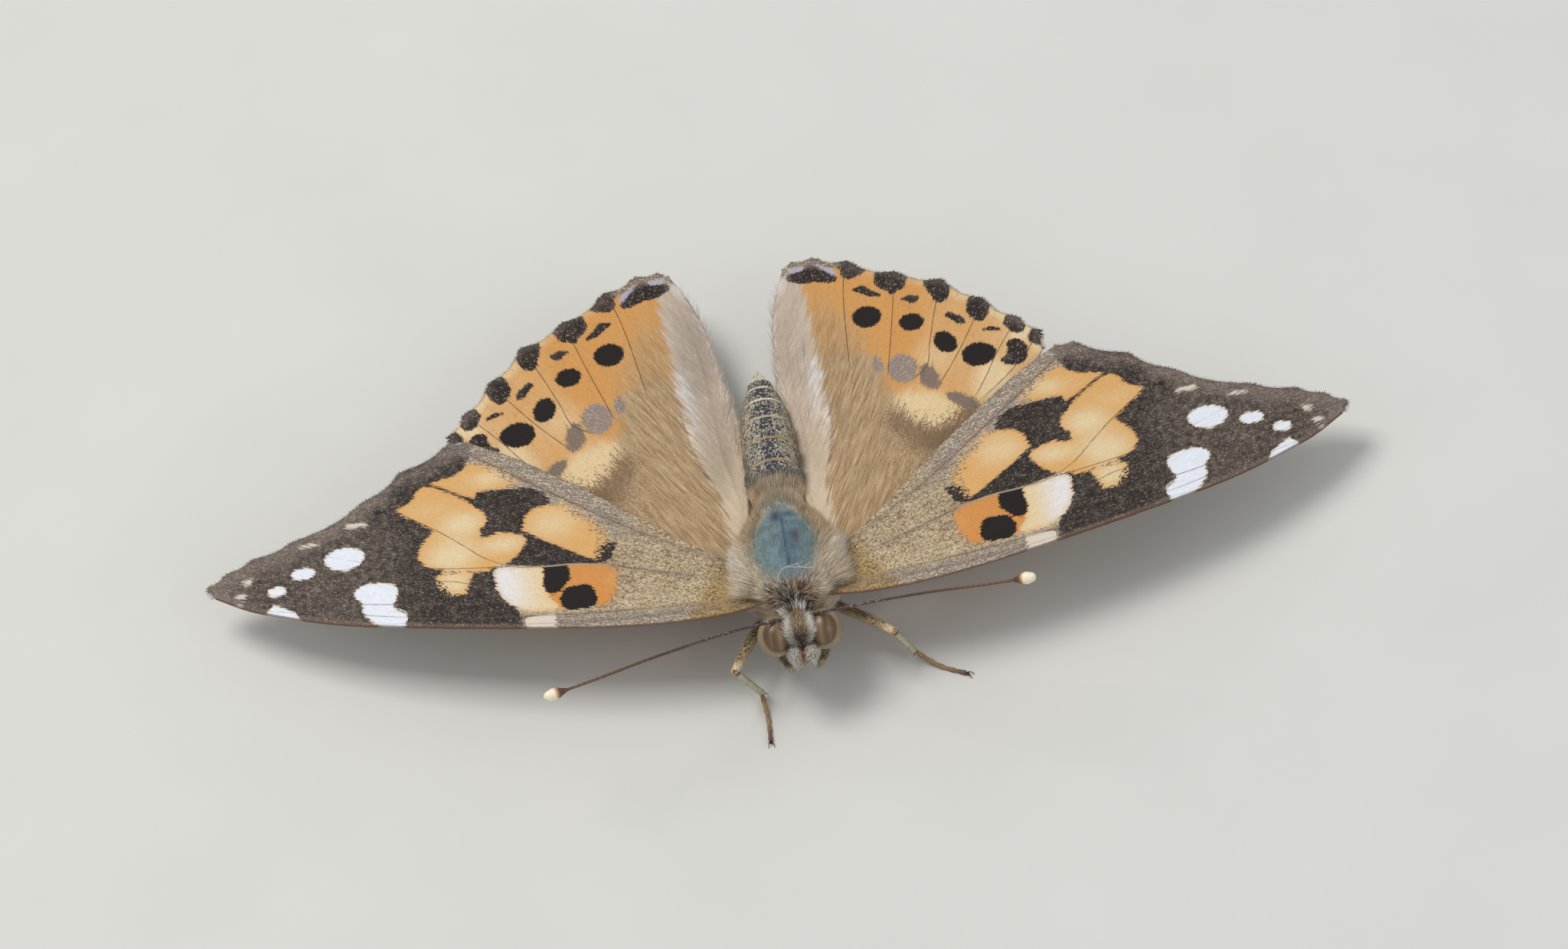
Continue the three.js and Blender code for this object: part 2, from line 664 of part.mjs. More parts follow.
const grown = {
  thorax: thoraxSolid(GAP),
  abdomen: abdomenSolid(GAP),
  head: headSolid(GAP),
};

const model = new THREE.Group();

function addNode(name, solid, colour, roughness = 0.85) {
  const material = new THREE.MeshStandardMaterial({ color: colour, roughness, metalness: 0 });
  const mesh = new THREE.Mesh(toGeometry(solid), material);
  mesh.name = name;
  model.add(mesh);
}

addNode('thorax', shaggyThorax(), colours.fur);
addNode('abdomen', cut(tuftedAbdomen(), [grown.thorax]), colours.abdomen);
addNode('head', cut(tuftedHead(), [grown.thorax]), colours.head);

for (const [side, sign] of [['left', 1], ['right', -1]]) {
  const grownEye = eyeSolid(sign, GAP);
  addNode(`eye_${side}`, cut(eyeSolid(sign), [grown.head, grown.thorax]), colours.eye, 0.35);
  addNode(`palp_${side}`, cut(palpSolid(sign), [grown.head, grownEye]), colours.palp);
  addNode(`antenna_${side}`, cut(antennaSolid(side), [grown.head, grownEye]), colours.antenna, 0.6);
  addNode(`foreleg_${side}`, cut(forelegSolid(sign), [grown.thorax]), colours.leg);
  for (const pair of ['midleg', 'hindleg']) {
    const name = `${pair}_${side}`;
    addNode(name, cut(legSolid(legPaths[name]), [grown.thorax]), colours.leg);
  }
  const outward = sign > 0 ? (solid) => solid : mirrored;
  addNode(`forewing_${side}`, cut(outward(forewingSolid()), [grown.thorax]), colours.forewing);
  addNode(
    `hindwing_${side}`,
    cut(outward(hindwingSolid(side)), [grown.thorax, grown.abdomen]),
    colours.hindwing,
  );
}

// The origin is under the middle of the model, at floor level
const bounds = new THREE.Box3().setFromObject(model);
const middle = bounds.getCenter(new THREE.Vector3());
model.position.set(-middle.x, -middle.y, -bounds.min.z);

export default model;
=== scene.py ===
"""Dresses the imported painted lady: scaled wings, furry body, eyes, palps, feelers and legs.

Shapes are worked out in millimetres in the body's own frame (+X the animal's left, the head towards -Y,
the floor at z = 0) and moved into the frame's metres when a mesh is made.
"""
import math

import bpy
import numpy as np
from bpy.props import FloatProperty, FloatVectorProperty, PointerProperty
from mathutils import Matrix, Vector
from mathutils.geometry import delaunay_2d_cdt


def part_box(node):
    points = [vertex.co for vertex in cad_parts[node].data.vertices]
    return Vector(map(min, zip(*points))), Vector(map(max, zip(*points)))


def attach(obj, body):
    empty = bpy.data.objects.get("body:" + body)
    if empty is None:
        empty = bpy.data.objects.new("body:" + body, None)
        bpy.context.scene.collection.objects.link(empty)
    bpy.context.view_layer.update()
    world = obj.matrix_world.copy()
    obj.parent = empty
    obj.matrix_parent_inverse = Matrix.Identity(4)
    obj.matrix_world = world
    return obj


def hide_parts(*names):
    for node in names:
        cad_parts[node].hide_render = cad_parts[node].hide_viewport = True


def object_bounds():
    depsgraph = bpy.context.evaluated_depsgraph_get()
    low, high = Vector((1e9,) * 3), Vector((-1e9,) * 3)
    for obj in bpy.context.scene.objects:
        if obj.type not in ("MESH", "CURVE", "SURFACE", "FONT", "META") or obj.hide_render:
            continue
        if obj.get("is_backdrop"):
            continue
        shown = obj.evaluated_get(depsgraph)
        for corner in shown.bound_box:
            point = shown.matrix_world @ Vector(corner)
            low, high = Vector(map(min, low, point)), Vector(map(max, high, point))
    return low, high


bl_info = {
    "name": "Painted lady butterfly",
    "version": (1, 0, 0),
    "blender": (4, 5, 0),
    "location": "3D View > Sidebar > Butterfly",
    "description": "Dresses a life-size painted lady with scaled wings and a coat of hair",
    "category": "Object",
}

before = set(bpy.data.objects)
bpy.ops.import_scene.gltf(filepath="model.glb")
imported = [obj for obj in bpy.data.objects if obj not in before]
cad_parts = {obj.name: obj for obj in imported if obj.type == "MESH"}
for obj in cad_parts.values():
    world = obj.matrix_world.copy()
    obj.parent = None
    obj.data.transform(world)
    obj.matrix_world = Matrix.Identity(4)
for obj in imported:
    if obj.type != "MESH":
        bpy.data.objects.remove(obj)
CAD_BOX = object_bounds()

MM = 0.001
SIDES = {"left": 1, "right": -1}


def frame_shift():
    """Where the body's own origin lies in the frame, found from the two eyes."""
    left_low, left_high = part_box("eye_left")
    right_low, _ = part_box("eye_right")
    across = (left_high[0] + right_low[0]) / 2
    along = left_low[1] - EYE_FRONT * MM
    return np.array([across, along, 0.0])


EYE_CENTRE = (1.3, -4.9, 4.72)
EYE_RADII = (1.0, 1.09, 1.14)
EYE_FRONT = EYE_CENTRE[1] - EYE_RADII[1]
SHIFT = frame_shift()

# Sizes shared with the solids, in millimetres
WING_ROOT_X = 3.0
WING_REACH = 28.7
WING_LEVEL = 5.7
WING_CROWN = 0.5
WING_TIP_DROP = 2.5
WING_SPACING = 0.9
VEIN_HEIGHT = 0.045
VEIN_WIDTH = 0.09
FOREWING_LIFT = -0.18
HINDWING_LIFT = 0.22

# How far the scales' pattern below a wing is moved from the one above
LOWER_GRAIN = (40, 17, 0)

# The wing plans are drawn on the level PLAN_LEVEL, along a line of sight that slopes down at 50 degrees
VIEW_SLOPE = math.radians(50)
VIEW_ROLL = math.radians(9.4)
VIEW_POINT = (0.541, 5.98, 5.0)
VIEW_DISTANCE = 0.5
VIEW_WIDTH = 85.33
PLAN_LEVEL = 5.2
PLAN_LEAN = 1 / math.tan(VIEW_SLOPE)

FOREWING = {
    "steps": 14,
    "notch": 0.07,
    "order": ("costa", "subcosta", "radius1", "radius3", "radius", "medial1", "medial2", "medial3",
        "cubital1", "cubital2", "anal", "inner"),
    "veins": {
        "costa": {"points": [(1.5, -2.8), (2.2, -2.96), (6, -3.05), (10, -2.6), (18, -1), (25, 0.75),
            (30, 2.9), (31.2, 3.8)]},
        "radius": {"points": [(2, -2.3), (9, -1.7), (14.9, -0.9), (21.2, 0.4), (26, 1.9), (30, 3.5),
            (31.6, 4.6)]},
        "cubital1": {"points": [(2, -1.3), (7, 0.6), (10.5, 1.9), (15.2, 2.8), (18.3, 5.7), (20.9, 7.9),
            (22.4, 8.85)]},
        "subcosta": {"points": [(2, -2.65), (10, -2.15)], "into": ("costa", 8)},
        "radius1": {"from": ("radius", 5), "points": [], "into": ("costa", 10)},
        "radius3": {"from": ("radius", 9), "points": [], "into": ("costa", 13)},
        "medial1": {"from": ("radius", 6), "points": [(17.2, 0.45), (21.5, 1.35), (28, 3.1), (30.4, 5.4)]},
        "medial2": {"from": ("radius", 6), "points": [(16.5, 1.5), (21, 2.9), (26.9, 4.1), (28.9, 6.1)]},
        "medial3": {"from": ("cubital1", 8), "points": [(19.5, 3.5), (25, 5.6), (26.6, 6.85)]},
        "cubital2": {"from": ("cubital1", 5), "points": [(13.9, 4.9), (16.3, 7.6), (18.8, 9.35),
            (20.2, 10.5)]},
        "anal": {"points": [(2, -0.6), (9, 4.6), (12, 7.2), (14.5, 9.4), (17.4, 11.9)]},
        "inner": {"points": [(2, 0.1), (3.1, 0.5), (9.3, 6.3), (11.2, 8), (13.9, 10.3), (16.3, 11.85)]},
    },
}

HINDWING = {
    "steps": 12,
    "notch": 0.13,
    "order": ("costa", "sector", "medial1", "medial2", "medial3", "cubital1", "cubital2", "anal2", "anal3",
        "inner"),
    "veins": {
        "costa": {"points": [(2, -0.3), (6, 1.5), (10.5, 4.7), (14.2, 8.1), (16.4, 11.1)]},
        "sector": {"points": [(2, 0.9), (7, 4.5), (11.5, 7.7), (14.7, 10.3), (16.55, 12.55)]},
        "cubital1": {"points": [(2, 2.4), (5, 6.5), (7.2, 10.2), (7.9, 12.7), (8.5, 15.2), (9.3, 18.95)]},
        "medial1": {"from": ("sector", 6), "points": [(12.1, 8.7), (13.85, 11.5), (15.45, 13.85)]},
        "medial2": {"from": ("sector", 4), "points": [(9.6, 9), (11.3, 11.4), (12.9, 14), (13.75, 15.75)]},
        "medial3": {"from": ("cubital1", 6), "points": [(9.6, 11.2), (10.5, 13.9), (11.75, 17.75)]},
        "cubital2": {"from": ("cubital1", 4), "points": [(5.5, 10.5), (5.8, 14.5), (6.3, 18.6),
            (6.8, 20.45)]},
        "anal2": {"points": [(2, 3.1), (3.4, 6), (3.8, 10), (4.1, 15), (4.9, 21.2)]},
        "anal3": {"points": [(2, 3.6), (2.6, 8), (2.65, 13), (2.95, 17), (3.75, 21.15)]},
        "inner": {"points": [(1.5, 4.2), (1.1, 7), (1.15, 10), (1.4, 13), (1.8, 16), (2.55, 19.2),
            (3.15, 20.7)]},
    },
}
CREASE = {"x": 3.9, "width": 2.2, "depth": 1.5}
HINGE = (2.8, 1.0)
HINDWING_POSE = {"left": (math.radians(2.4), 0.975), "right": (math.radians(-2.4), 1.02)}

# Marks of the forewing's upper side, as outlines on its plan. The dark ones run on under the orange cells
FOREWING_BLACK = {
    "outer field": [(14.6, -2.4), (14.65, -1), (14.9, 0.5), (14.9, 2.4), (15.5, 2.9), (16.1, 3.4),
        (16.3, 4.9), (16.5, 7.5), (16.9, 9.6), (16.6, 10.4), (16.1, 11.2), (16.4, 14), (36, 14), (36, -6),
        (14.6, -6)],
    "rear blotch": [(12.2, 6.7), (12.7, 7.6), (13.6, 8.05), (14.8, 8.25), (16.1, 8.4), (17, 8.2), (17, 6),
        (16.6, 4.9), (15.4, 4.9), (14.4, 4.7), (13.6, 4.7), (13.3, 5.4), (13, 6.2), (12.4, 6.5)],
    "wedge": [(9.9, 1.75), (10.2, 2.2), (10.9, 2.9), (12.1, 3.75), (13.2, 4.7), (13.8, 5.1), (14.2, 4.6),
        (14.1, 4), (14.6, 3.3), (15.3, 3), (15.6, 2.6), (14.6, 2.3), (13, 2), (11.3, 1.8)],
    "cell corner": [(8.95, 3.1), (9.2, 3.35), (9.6, 3.3), (9.95, 3), (10.2, 2.6), (10.4, 2), (9.9, 1.75),
        (9.4, 2.1), (9.25, 2.7)],
}
FOREWING_SPOTS = {
    "cell spot": [(10.5, -0.9), (10.45, -0.2), (10.6, 0.4), (11.1, 0.68), (11.9, 0.65), (12.35, 0.3),
        (12.5, -0.25), (12.3, -0.8), (12, -1.05), (10.9, -1.05)],
    "cell bar": [(11.8, 2.2), (13.2, 2.32), (13.15, 1.7), (13.3, 1.1), (13.1, 0.5), (12.7, 0.25),
        (12.35, 0.5), (12.15, 0.85), (11.8, 1.05), (11.75, 1.6)],
}
FOREWING_ORANGE = {
    "rear field": [(13.9, 8.45), (14.5, 9.05), (15.3, 9.75), (16.2, 10.4), (16.6, 10.15), (17.1, 9.75),
        (17.9, 9.6), (18.75, 9.4), (17.8, 8.75), (16.6, 7.95), (16.35, 7.7), (16.2, 8.25), (15.3, 8.3),
        (14.6, 8.2)],
    "outer field": [(16.2, 4.95), (16.3, 5.6), (15.75, 6.15), (15.85, 6.6), (16.35, 7.2), (16.75, 7.75),
        (17.8, 8.55), (18.9, 9.35), (19.35, 9.05), (19.75, 8.5), (20.2, 8.1), (20.85, 7.85), (20.2, 7.35),
        (19.5, 6.7), (18.85, 6.1), (18.5, 5.3), (17, 4.9)],
    "middle lobe": [(13.8, 4.35), (14, 4.75), (14.5, 5), (15.3, 5.2), (15.9, 5.05), (16.5, 5.15),
        (17.6, 5.5), (18.8, 6), (19.45, 5.35), (19.85, 4.6), (19.75, 4), (19.1, 3.35), (17.8, 2.85),
        (16.6, 2.6), (15.6, 2.75), (14.9, 3), (14.35, 3.45), (14, 3.95)],
    "tail": [(16.9, 2.6), (17.25, 1.9), (17.4, 1.35), (17.9, 1.15), (18.3, 1.5), (18.75, 1.95), (19, 2.6),
        (18.9, 3), (17.6, 2.9)],
    "inner field": [(9.65, 3.3), (9.8, 4), (10.35, 5.05), (11.15, 5.95), (11.8, 6.5), (13.1, 6.55),
        (13.75, 6.1), (13.95, 5.3), (14, 5.05), (13.41, 4.5), (12.22, 3.58), (11.1, 2.72), (10.55, 2.3),
        (10.2, 2.4), (10.05, 2.85), (9.85, 3.2)],
}
FOREWING_DEEP_ORANGE = {
    "cell": [(9.2, 1.2), (9.55, 1.62), (10.5, 1.9), (11.4, 2.12), (12.4, 2.2), (13.2, 2.28), (13.35, 1.2),
        (13.1, 0.2), (12.8, -0.5), (12.3, -0.95), (10.1, -1), (9.6, -0.7), (9.3, 0.2)],
}
FOREWING_CREAM = {
    "cell end": [(12.95, 2.3), (14, 2.5), (14.7, 2.62), (15.3, 2.85), (15.8, 2.7), (15.85, 1.6),
        (15.65, 0.7), (15.2, 0), (14.5, -0.5), (13.5, -0.8), (12.7, -0.85), (12.55, -0.5), (12.9, -0.05),
        (13.1, 0.5), (13.15, 1.3)],
}
FOREWING_WHITE = {
    "costal bar": [(21.1, -0.75), (20.75, 0.35), (20.85, 0.65), (21.55, 1.2), (21.3, 1.7), (21.05, 2.3),
        (21.3, 2.85), (22.2, 3), (22.9, 3.15), (23.55, 2.7), (23.5, 2.2), (23.15, 1.85), (23.2, 1.3),
        (23, 0.75), (22.6, 0.15), (21.8, -0.5)],
    "apical bar": [(26.55, 1.2), (26.9, 1.95), (27.5, 2.35), (28.05, 2.8), (28.5, 2.1), (28.3, 1.7),
        (27.5, 1.2), (26.7, 0.95)],
}
FOREWING_WHITE_SPOTS = {
    "large": (23.85, 5.1, 1.12, 0.8),
    "middle": (26.2, 4.53, 0.7, 0.42),
    "small": (27.75, 3.55, 0.52, 0.38),
}
FOREWING_FAINT = {
    "apex rear": (29.3, 4.55, 0.34, 0.26),
    "apex middle": (29.75, 3.6, 0.28, 0.16),
    "apex front": (30.05, 3.05, 0.32, 0.13),
    "margin inner": (22.95, 7.35, 0.62, 0.17),
    "margin outer": (25.7, 6.42, 0.6, 0.15),
}
# Darker places in the pale margin, as their middles and half sizes
FOREWING_LUNULES = {
    "tornus": ((17.6, 10.35), (1.0, 0.42)),
    "second": ((20.1, 9.0), (0.85, 0.5)),
    "third": ((21.6, 8.0), (0.7, 0.4)),
}
# Soft pale places in the orange cells, as weights, middles and half sizes
FOREWING_PALE = [
    (0.8, (18, 4.1), (1.5, 1.1)),
    (0.6, (15.1, 4.3), (1.1, 0.7)),
    (0.75, (17.2, 6.2), (1.3, 0.9)),
    (0.5, (15.4, 9.1), (1.4, 0.7)),
    (0.52, (12.3, 5.2), (1.5, 1.3)),
    (0.7, (18, 2.1), (1, 0.8)),
    (0.25, (19.2, 7.6), (1.5, 0.8)),
    (0.3, (9.5, 0.6), (0.5, 0.8)),
]

# Marks of the hindwing's upper side
HINDWING_BLACK = {
    "tornus": [(3.2, 19.8), (3.3, 20.3), (4.1, 20.4), (4.6, 20.75), (5.1, 20.6), (5.7, 20.05), (6.1, 19.5),
        (6.05, 19.05), (5.5, 19.1), (4.9, 19.3), (3.9, 19.4)],
    "tornus rim": [(5.6, 21.1), (6.6, 21.1), (7.4, 20.4), (8.1, 19.75), (7.6, 19.3), (6.9, 19),
        (6.35, 19.15), (6.3, 19.9), (5.9, 20.5)],
    "margin 1": [(8, 18.6), (8.3, 19.4), (9.6, 19.3), (9.95, 18.3), (9.7, 17.6), (9.15, 17.45),
        (8.85, 17.15), (8.6, 17.7), (8.15, 18)],
    "margin 2": [(10.7, 17.8), (11, 18.5), (12.3, 17.9), (12.2, 16.9), (11.85, 16.1), (11.2, 15.95),
        (11.05, 16.5), (10.85, 17.1)],
    "margin 3": [(12.7, 15.2), (13, 16.1), (14.1, 16), (14.1, 14.8), (13.55, 14), (13.1, 14.1),
        (12.85, 14.6)],
    "margin 4": [(14.55, 13.6), (14.9, 14.2), (15.9, 14.1), (16, 13.2), (15.5, 12.6), (14.9, 12.75)],
    "margin 5": [(15.75, 12.3), (16.2, 13), (17, 12.7), (16.9, 11.6), (16.2, 11.45), (15.8, 11.8)],
    "costal end": [(14.5, 12.2), (15.1, 12.4), (15.7, 11.6), (15.4, 10.6), (14.9, 10.3), (14.1, 10.6),
        (13.9, 10.9), (14.4, 11.4)],
    "arc a": [(6.6, 18.2), (7.05, 18.35), (7.4, 18.5), (7.6, 18.1), (8.3, 17.5), (8.2, 17.25), (7.5, 17.6),
        (6.9, 18.05)],
    "arc b": [(9.25, 16.75), (9.7, 17.05), (10.4, 16.85), (10.35, 16.6), (10, 16.3), (9.6, 16.6)],
    "arc c": [(11.4, 15.05), (11.85, 15.3), (12.1, 14.95), (12.5, 14.7), (12.55, 14), (12.1, 14.2),
        (11.7, 14.75)],
    "arc d": [(13.3, 13.45), (13.8, 13.6), (14.4, 13.25), (14.35, 13.05), (13.8, 13.2)],
}
HINDWING_SPOTS = {
    "eye a": (7.2, 16.05, 0.83, 0.8, 0),
    "eye b": (9.6, 15.0, 0.7, 0.66, 0),
    "eye c": (11.2, 13.05, 0.62, 0.86, 20),
    "eye d": (12.85, 11.7, 0.97, 0.86, 0),
}
HINDWING_DUSK = {
    "round": (8.5, 11.7, 0.82, 1.1, 0),
    "narrow": (9.85, 10.75, 0.5, 1.0, 12),
    "small": (7.2, 12.4, 0.3, 0.55, 0),
    "branch": (11.35, 8.6, 1.1, 0.42, -42),
}
HINDWING_CREAM = {
    "middle": [(7.4, 9.7), (8.6, 10), (9.9, 9.5), (10.7, 8.9), (11.1, 8.2), (10.8, 7.4), (10, 6.9),
        (9.2, 6.9), (8.3, 7.6), (7.6, 8.5)],
    "costal": [(12.3, 8.7), (13, 8.9), (13.7, 9.8), (14.2, 10.5), (13.8, 10.8), (13.2, 10.3), (12.5, 9.6)],
}
HINDWING_FAN = {
    "fan": [(2, -2), (2.4, 6), (3.4, 13.4), (5, 14.6), (6.1, 13.8), (7.1, 13.2), (7.5, 12.2), (7.6, 10.8),
        (7.7, 9.6), (8, 8.5), (8.7, 7.7), (9.5, 6.9), (10.6, 7.3), (11.6, 8.1), (12.6, 7.9), (12, 3),
        (6, -2)],
}
HINDWING_FOLD = [(2.8, 2), (3.4, 5.1), (3.95, 8.7), (4.1, 11.2), (4.15, 13.2), (4.0, 16), (4.2, 19)]
HINDWING_LILAC = {
    "inner": [(3.25, 20.35), (3.7, 20.75), (4.3, 20.7), (4.4, 20.45), (3.8, 20.3)],
    "outer": [(4.85, 20.7), (5.25, 20.65), (6.0, 19.85), (6.15, 19.5), (5.85, 19.6), (5.3, 20.25)],
}
# Soft masks of the hindwing's ground: pale places and dark ones
HINDWING_PALE = [
    (0.3, (10.3, 12), (1.5, 1.2)),
    (0.8, (15.4, 12.7), (0.5, 0.5)),
    (0.9, (13.3, 9.6), (0.8, 1.1)),
]
HINDWING_UMBER = [
    (1.1, (9.6, 6.3), (1.9, 1.2)),
    (0.8, (7.7, 8.1), (0.9, 1.1)),
    (0.8, (11.4, 7.7), (0.9, 0.7)),
]
# Eyespots of the hindwing's underside, as their middles and radii
HINDWING_EYELETS = {
    "first": (7.3, 15.9, 0.85),
    "second": (9.5, 14.8, 0.55),
    "third": (11.2, 13.1, 0.6),
    "fourth": (12.9, 11.6, 0.9),
    "fifth": (14.2, 10.1, 0.45),
}


def tint(red, green, blue):
    """A display colour of 0 to 255 as the linear colour that materials take."""
    values = (red / 255, green / 255, blue / 255)
    return tuple(v / 12.92 if v <= 0.04045 else ((v + 0.055) / 1.055) ** 2.4 for v in values)


def size_property(name, description, millimetres):
    return FloatProperty(name=name, description=description, default=millimetres * MM,
                         precision=6, unit="LENGTH", min=0.0)


def colour_property(name, description, *rgb):
    return FloatVectorProperty(name=name, description=description, default=tint(*rgb), size=3,
                               subtype="COLOR", min=0.0, max=1.0)


class ButterflySizes(bpy.types.PropertyGroup):
    wing_mesh: size_property("Wing mesh", "Distance between neighbouring points of a wing", 0.14)
    wing_thickness: size_property("Wing thickness", "Thickness of the wing membrane", 0.1)
    hair_width: size_property("Hair width", "Width of a hair at its root", 0.05)
    coat_length: size_property("Coat length", "Length of the long hair on the thorax", 1.25)
    wing_hair: size_property("Wing hair", "Length of the hair on the hindwings", 1.6)
    fringe_length: size_property("Fringe", "Length of the scales along the wing margins", 0.28)
    antenna_width: size_property("Feeler width", "Thickness of the feelers' shafts", 0.16)


class ButterflyColours(bpy.types.PropertyGroup):
    orange: colour_property("Orange", "Cells of the forewing", 214, 166, 104)
    warm: colour_property("Warm orange", "Ground colour of the outer hindwing", 204, 148, 84)
    deep_orange: colour_property("Deep orange", "Patch in the forewing's cell", 206, 140, 74)
    cream: colour_property("Cream", "Pale middles of the orange cells", 222, 199, 158)
    black: colour_property("Black", "Dark scales of the marks", 44, 35, 32)
    # Brown stands for the grey-brown band along the margins, and also for a painted sheen on the black
    # towards the forewing's tip
    brown: colour_property("Brown", "Worn dark scales of the margins", 124, 110, 101)
    white: colour_property("White", "Spots near the forewing's tip", 226, 229, 238)
    bark: colour_property("Bark", "Dark scales near the wing roots", 124, 100, 76)
    ochre: colour_property("Ochre", "Light scales near the wing roots", 208, 188, 152)
    mauve: colour_property("Mauve", "Dark scales of the pale bands", 126, 111, 100)
    stone: colour_property("Stone", "Light scales of the pale bands", 200, 186, 164)
    fold: colour_property("Fold", "Pale inner fold of the hindwing", 202, 184, 166)
    lilac: colour_property("Lilac", "Blue-violet scales at the hindwing's corner", 176, 170, 186)
    rose: colour_property("Rose", "Middle of the forewing's underside", 214, 134, 96)
    olive: colour_property("Olive", "Marbling of the undersides", 150, 130, 100)
    fur_tan: colour_property("Tan fur", "Long hair on the sides of the thorax", 222, 190, 150)
    fur_grey: colour_property("Grey fur", "Hair of the collar and shoulders", 228, 210, 184)
    fur_white: colour_property("White fur", "Hair of the chest, palps and eye rims", 228, 222, 210)
    fur_brown: colour_property("Brown fur", "Dark hair of the brow and nape", 88, 62, 42)
    slate: colour_property("Slate", "Short hair on the back", 110, 132, 136)
    # The eye's colours are darkened as painted shade on the head. Its pale rim is painted light that shines
    # through the eye's edge, over the eye's own tan
    eye: colour_property("Eye", "Middle of the compound eyes", 94, 66, 40)
    eye_rim: colour_property("Eye rim", "Outer ring of the compound eyes", 142, 120, 86)
    feeler: colour_property("Feeler", "Shaft of the feelers", 62, 42, 42)
    leg: colour_property("Leg", "Scales of the legs", 172, 146, 104)


# Colours of single marks and scales
TINTS = {name: tint(*rgb) for name, rgb in {
    "golden shadow": (92, 68, 42), "golden scale": (184, 154, 94), "vein": (88, 58, 42), "rib": (108, 74, 54),
    "hindwing vein": (84, 60, 46), "eyespot ring": (216, 184, 116), "eyespot middle": (116, 150, 156),
    "collar": (150, 146, 136), "shoulder tuft": (252, 246, 234), "rump": (158, 152, 130),
    "back blue": (80, 110, 132), "back edge": (128, 138, 126), "back spot": (40, 52, 74),
    "back bar": (44, 60, 76), "back line": (34, 46, 62), "back violet": (84, 64, 88),
    # The brow's tan is darkened as painted shade on the face
    "back front": (118, 134, 152), "back fleck": (156, 154, 136), "brow rim": (150, 122, 84),
    "face spot": (130, 82, 50), "nape": (64, 50, 40), "nape tuft": (156, 104, 60),
    # The abdomen's blue sheen is a painted sheen
    "long hair": (206, 194, 166), "abdomen": (48, 49, 60), "abdomen blue": (42, 47, 72),
    "abdomen side": (108, 102, 90), "abdomen tip": (232, 222, 204), "abdomen fleck": (178, 164, 138),
    "abdomen scale": (186, 176, 152), "belly": (206, 190, 158), "front ring": (172, 138, 94),
    "rear ring": (230, 222, 206), "pupil": (66, 36, 26), "eye skirt": (136, 108, 80),
    # The feeler's sheen grey is a painted sheen, laid on as grey flecks
    "feeler end": (100, 66, 48), "feeler grey": (96, 88, 96), "feeler white": (188, 178, 164),
    "club": (92, 62, 46), "club joint": (56, 38, 34), "club rim": (176, 118, 66), "club tip": (240, 228, 200),
    "palp side": (176, 112, 62), "palp base": (84, 46, 32), "tongue": (92, 62, 40),
    "tongue fleck": (52, 34, 24), "thigh stripe": (70, 50, 38), "thigh end": (232, 208, 168),
    "shin": (186, 180, 152), "shin stripe": (132, 112, 82), "shin top": (74, 46, 36),
    "knee": (222, 170, 104), "knee fleck": (62, 44, 50), "foot": (158, 126, 84), "foot end": (92, 62, 44),
    "claw": (66, 34, 26), "bristle": (176, 164, 138), "dark bristle": (88, 64, 46),
    "bristle light": (226, 214, 190), "floor": (206, 205, 200), "floor fleck": (214, 213, 208),
}.items()}


def named_colour(value):
    """The colour that a name stands for. Anything but a name comes back as it is."""
    if not isinstance(value, str):
        return value
    return TINTS[value] if value in TINTS else getattr(bpy.context.scene.butterfly_colours, value)


# Shader and geometry trees


class Wire:
    """A value that runs between shader nodes. Sums and products on it add Math nodes."""

    def __init__(self, graph, socket):
        self.graph = graph
        self.socket = socket

    def math(self, operation, *values):
        return self.graph.wire(0, "ShaderNodeMath", {"operation": operation}, dict(enumerate(values)))

    def __add__(self, other):
        return self.math("ADD", self, other)

    def __radd__(self, other):
        return self.math("ADD", other, self)

    def __sub__(self, other):
        return self.math("SUBTRACT", self, other)

    def __rsub__(self, other):
        return self.math("SUBTRACT", other, self)

    def __mul__(self, other):
        return self.math("MULTIPLY", self, other)

    def __rmul__(self, other):
        return self.math("MULTIPLY", other, self)

    def __pow__(self, other):
        return self.math("POWER", self, other)

    def cosine(self):
        return self.math("COSINE", self)

    def largest(self, other):
        return self.math("MAXIMUM", self, other)

    def above(self, low, high):
        """A smooth step from 0 at low to 1 at high."""
        return self.graph.wire("Result", "ShaderNodeMapRange", {"interpolation_type": "SMOOTHSTEP"},
                               {"Value": self, "From Min": low, "From Max": high})

    def below(self, low, high):
        return 1 - self.above(low, high)


class Graph:
    """Adds nodes to a tree: a type, its settings first, and then what its sockets get."""

    def __init__(self, tree):
        self.tree = tree

    def node(self, kind, settings=None, inputs=None):
        made = self.tree.nodes.new(kind)
        for key, value in (settings or {}).items():
            setattr(made, key, value)
        for key, value in (inputs or {}).items():
            self.feed(self.socket(made.inputs, key), value)
        return made

    def wire(self, output, kind, settings=None, inputs=None):
        """One output of a new node."""
        made = self.node(kind, settings, inputs)
        return Wire(self, self.socket(made.outputs, output))

    @staticmethod
    def socket(sockets, key):
        if isinstance(key, int):
            return sockets[key]
        for socket in sockets:
            if socket.identifier == key:
                return socket
        return sockets[key]

    def feed(self, socket, value):
        if isinstance(value, Wire):
            self.tree.links.new(value.socket, socket)
        elif isinstance(value, str) or not hasattr(value, "__len__"):
            socket.default_value = value
        else:
            opaque = (1.0,) if len(socket.default_value) > len(value) else ()
            socket.default_value = (*value, *opaque)

    def vector(self, operation, first, second):
        return self.wire(0, "ShaderNodeVectorMath", {"operation": operation}, {0: first, 1: second})

    def scaled(self, vector, factor):
        """A vector made longer, or a colour made lighter, by a number."""
        return self.wire(0, "ShaderNodeVectorMath", {"operation": "SCALE"}, {0: vector, "Scale": factor})

    def parts(self, vector):
        made = self.node("ShaderNodeSeparateXYZ", {}, {0: vector})
        return [Wire(self, socket) for socket in made.outputs]


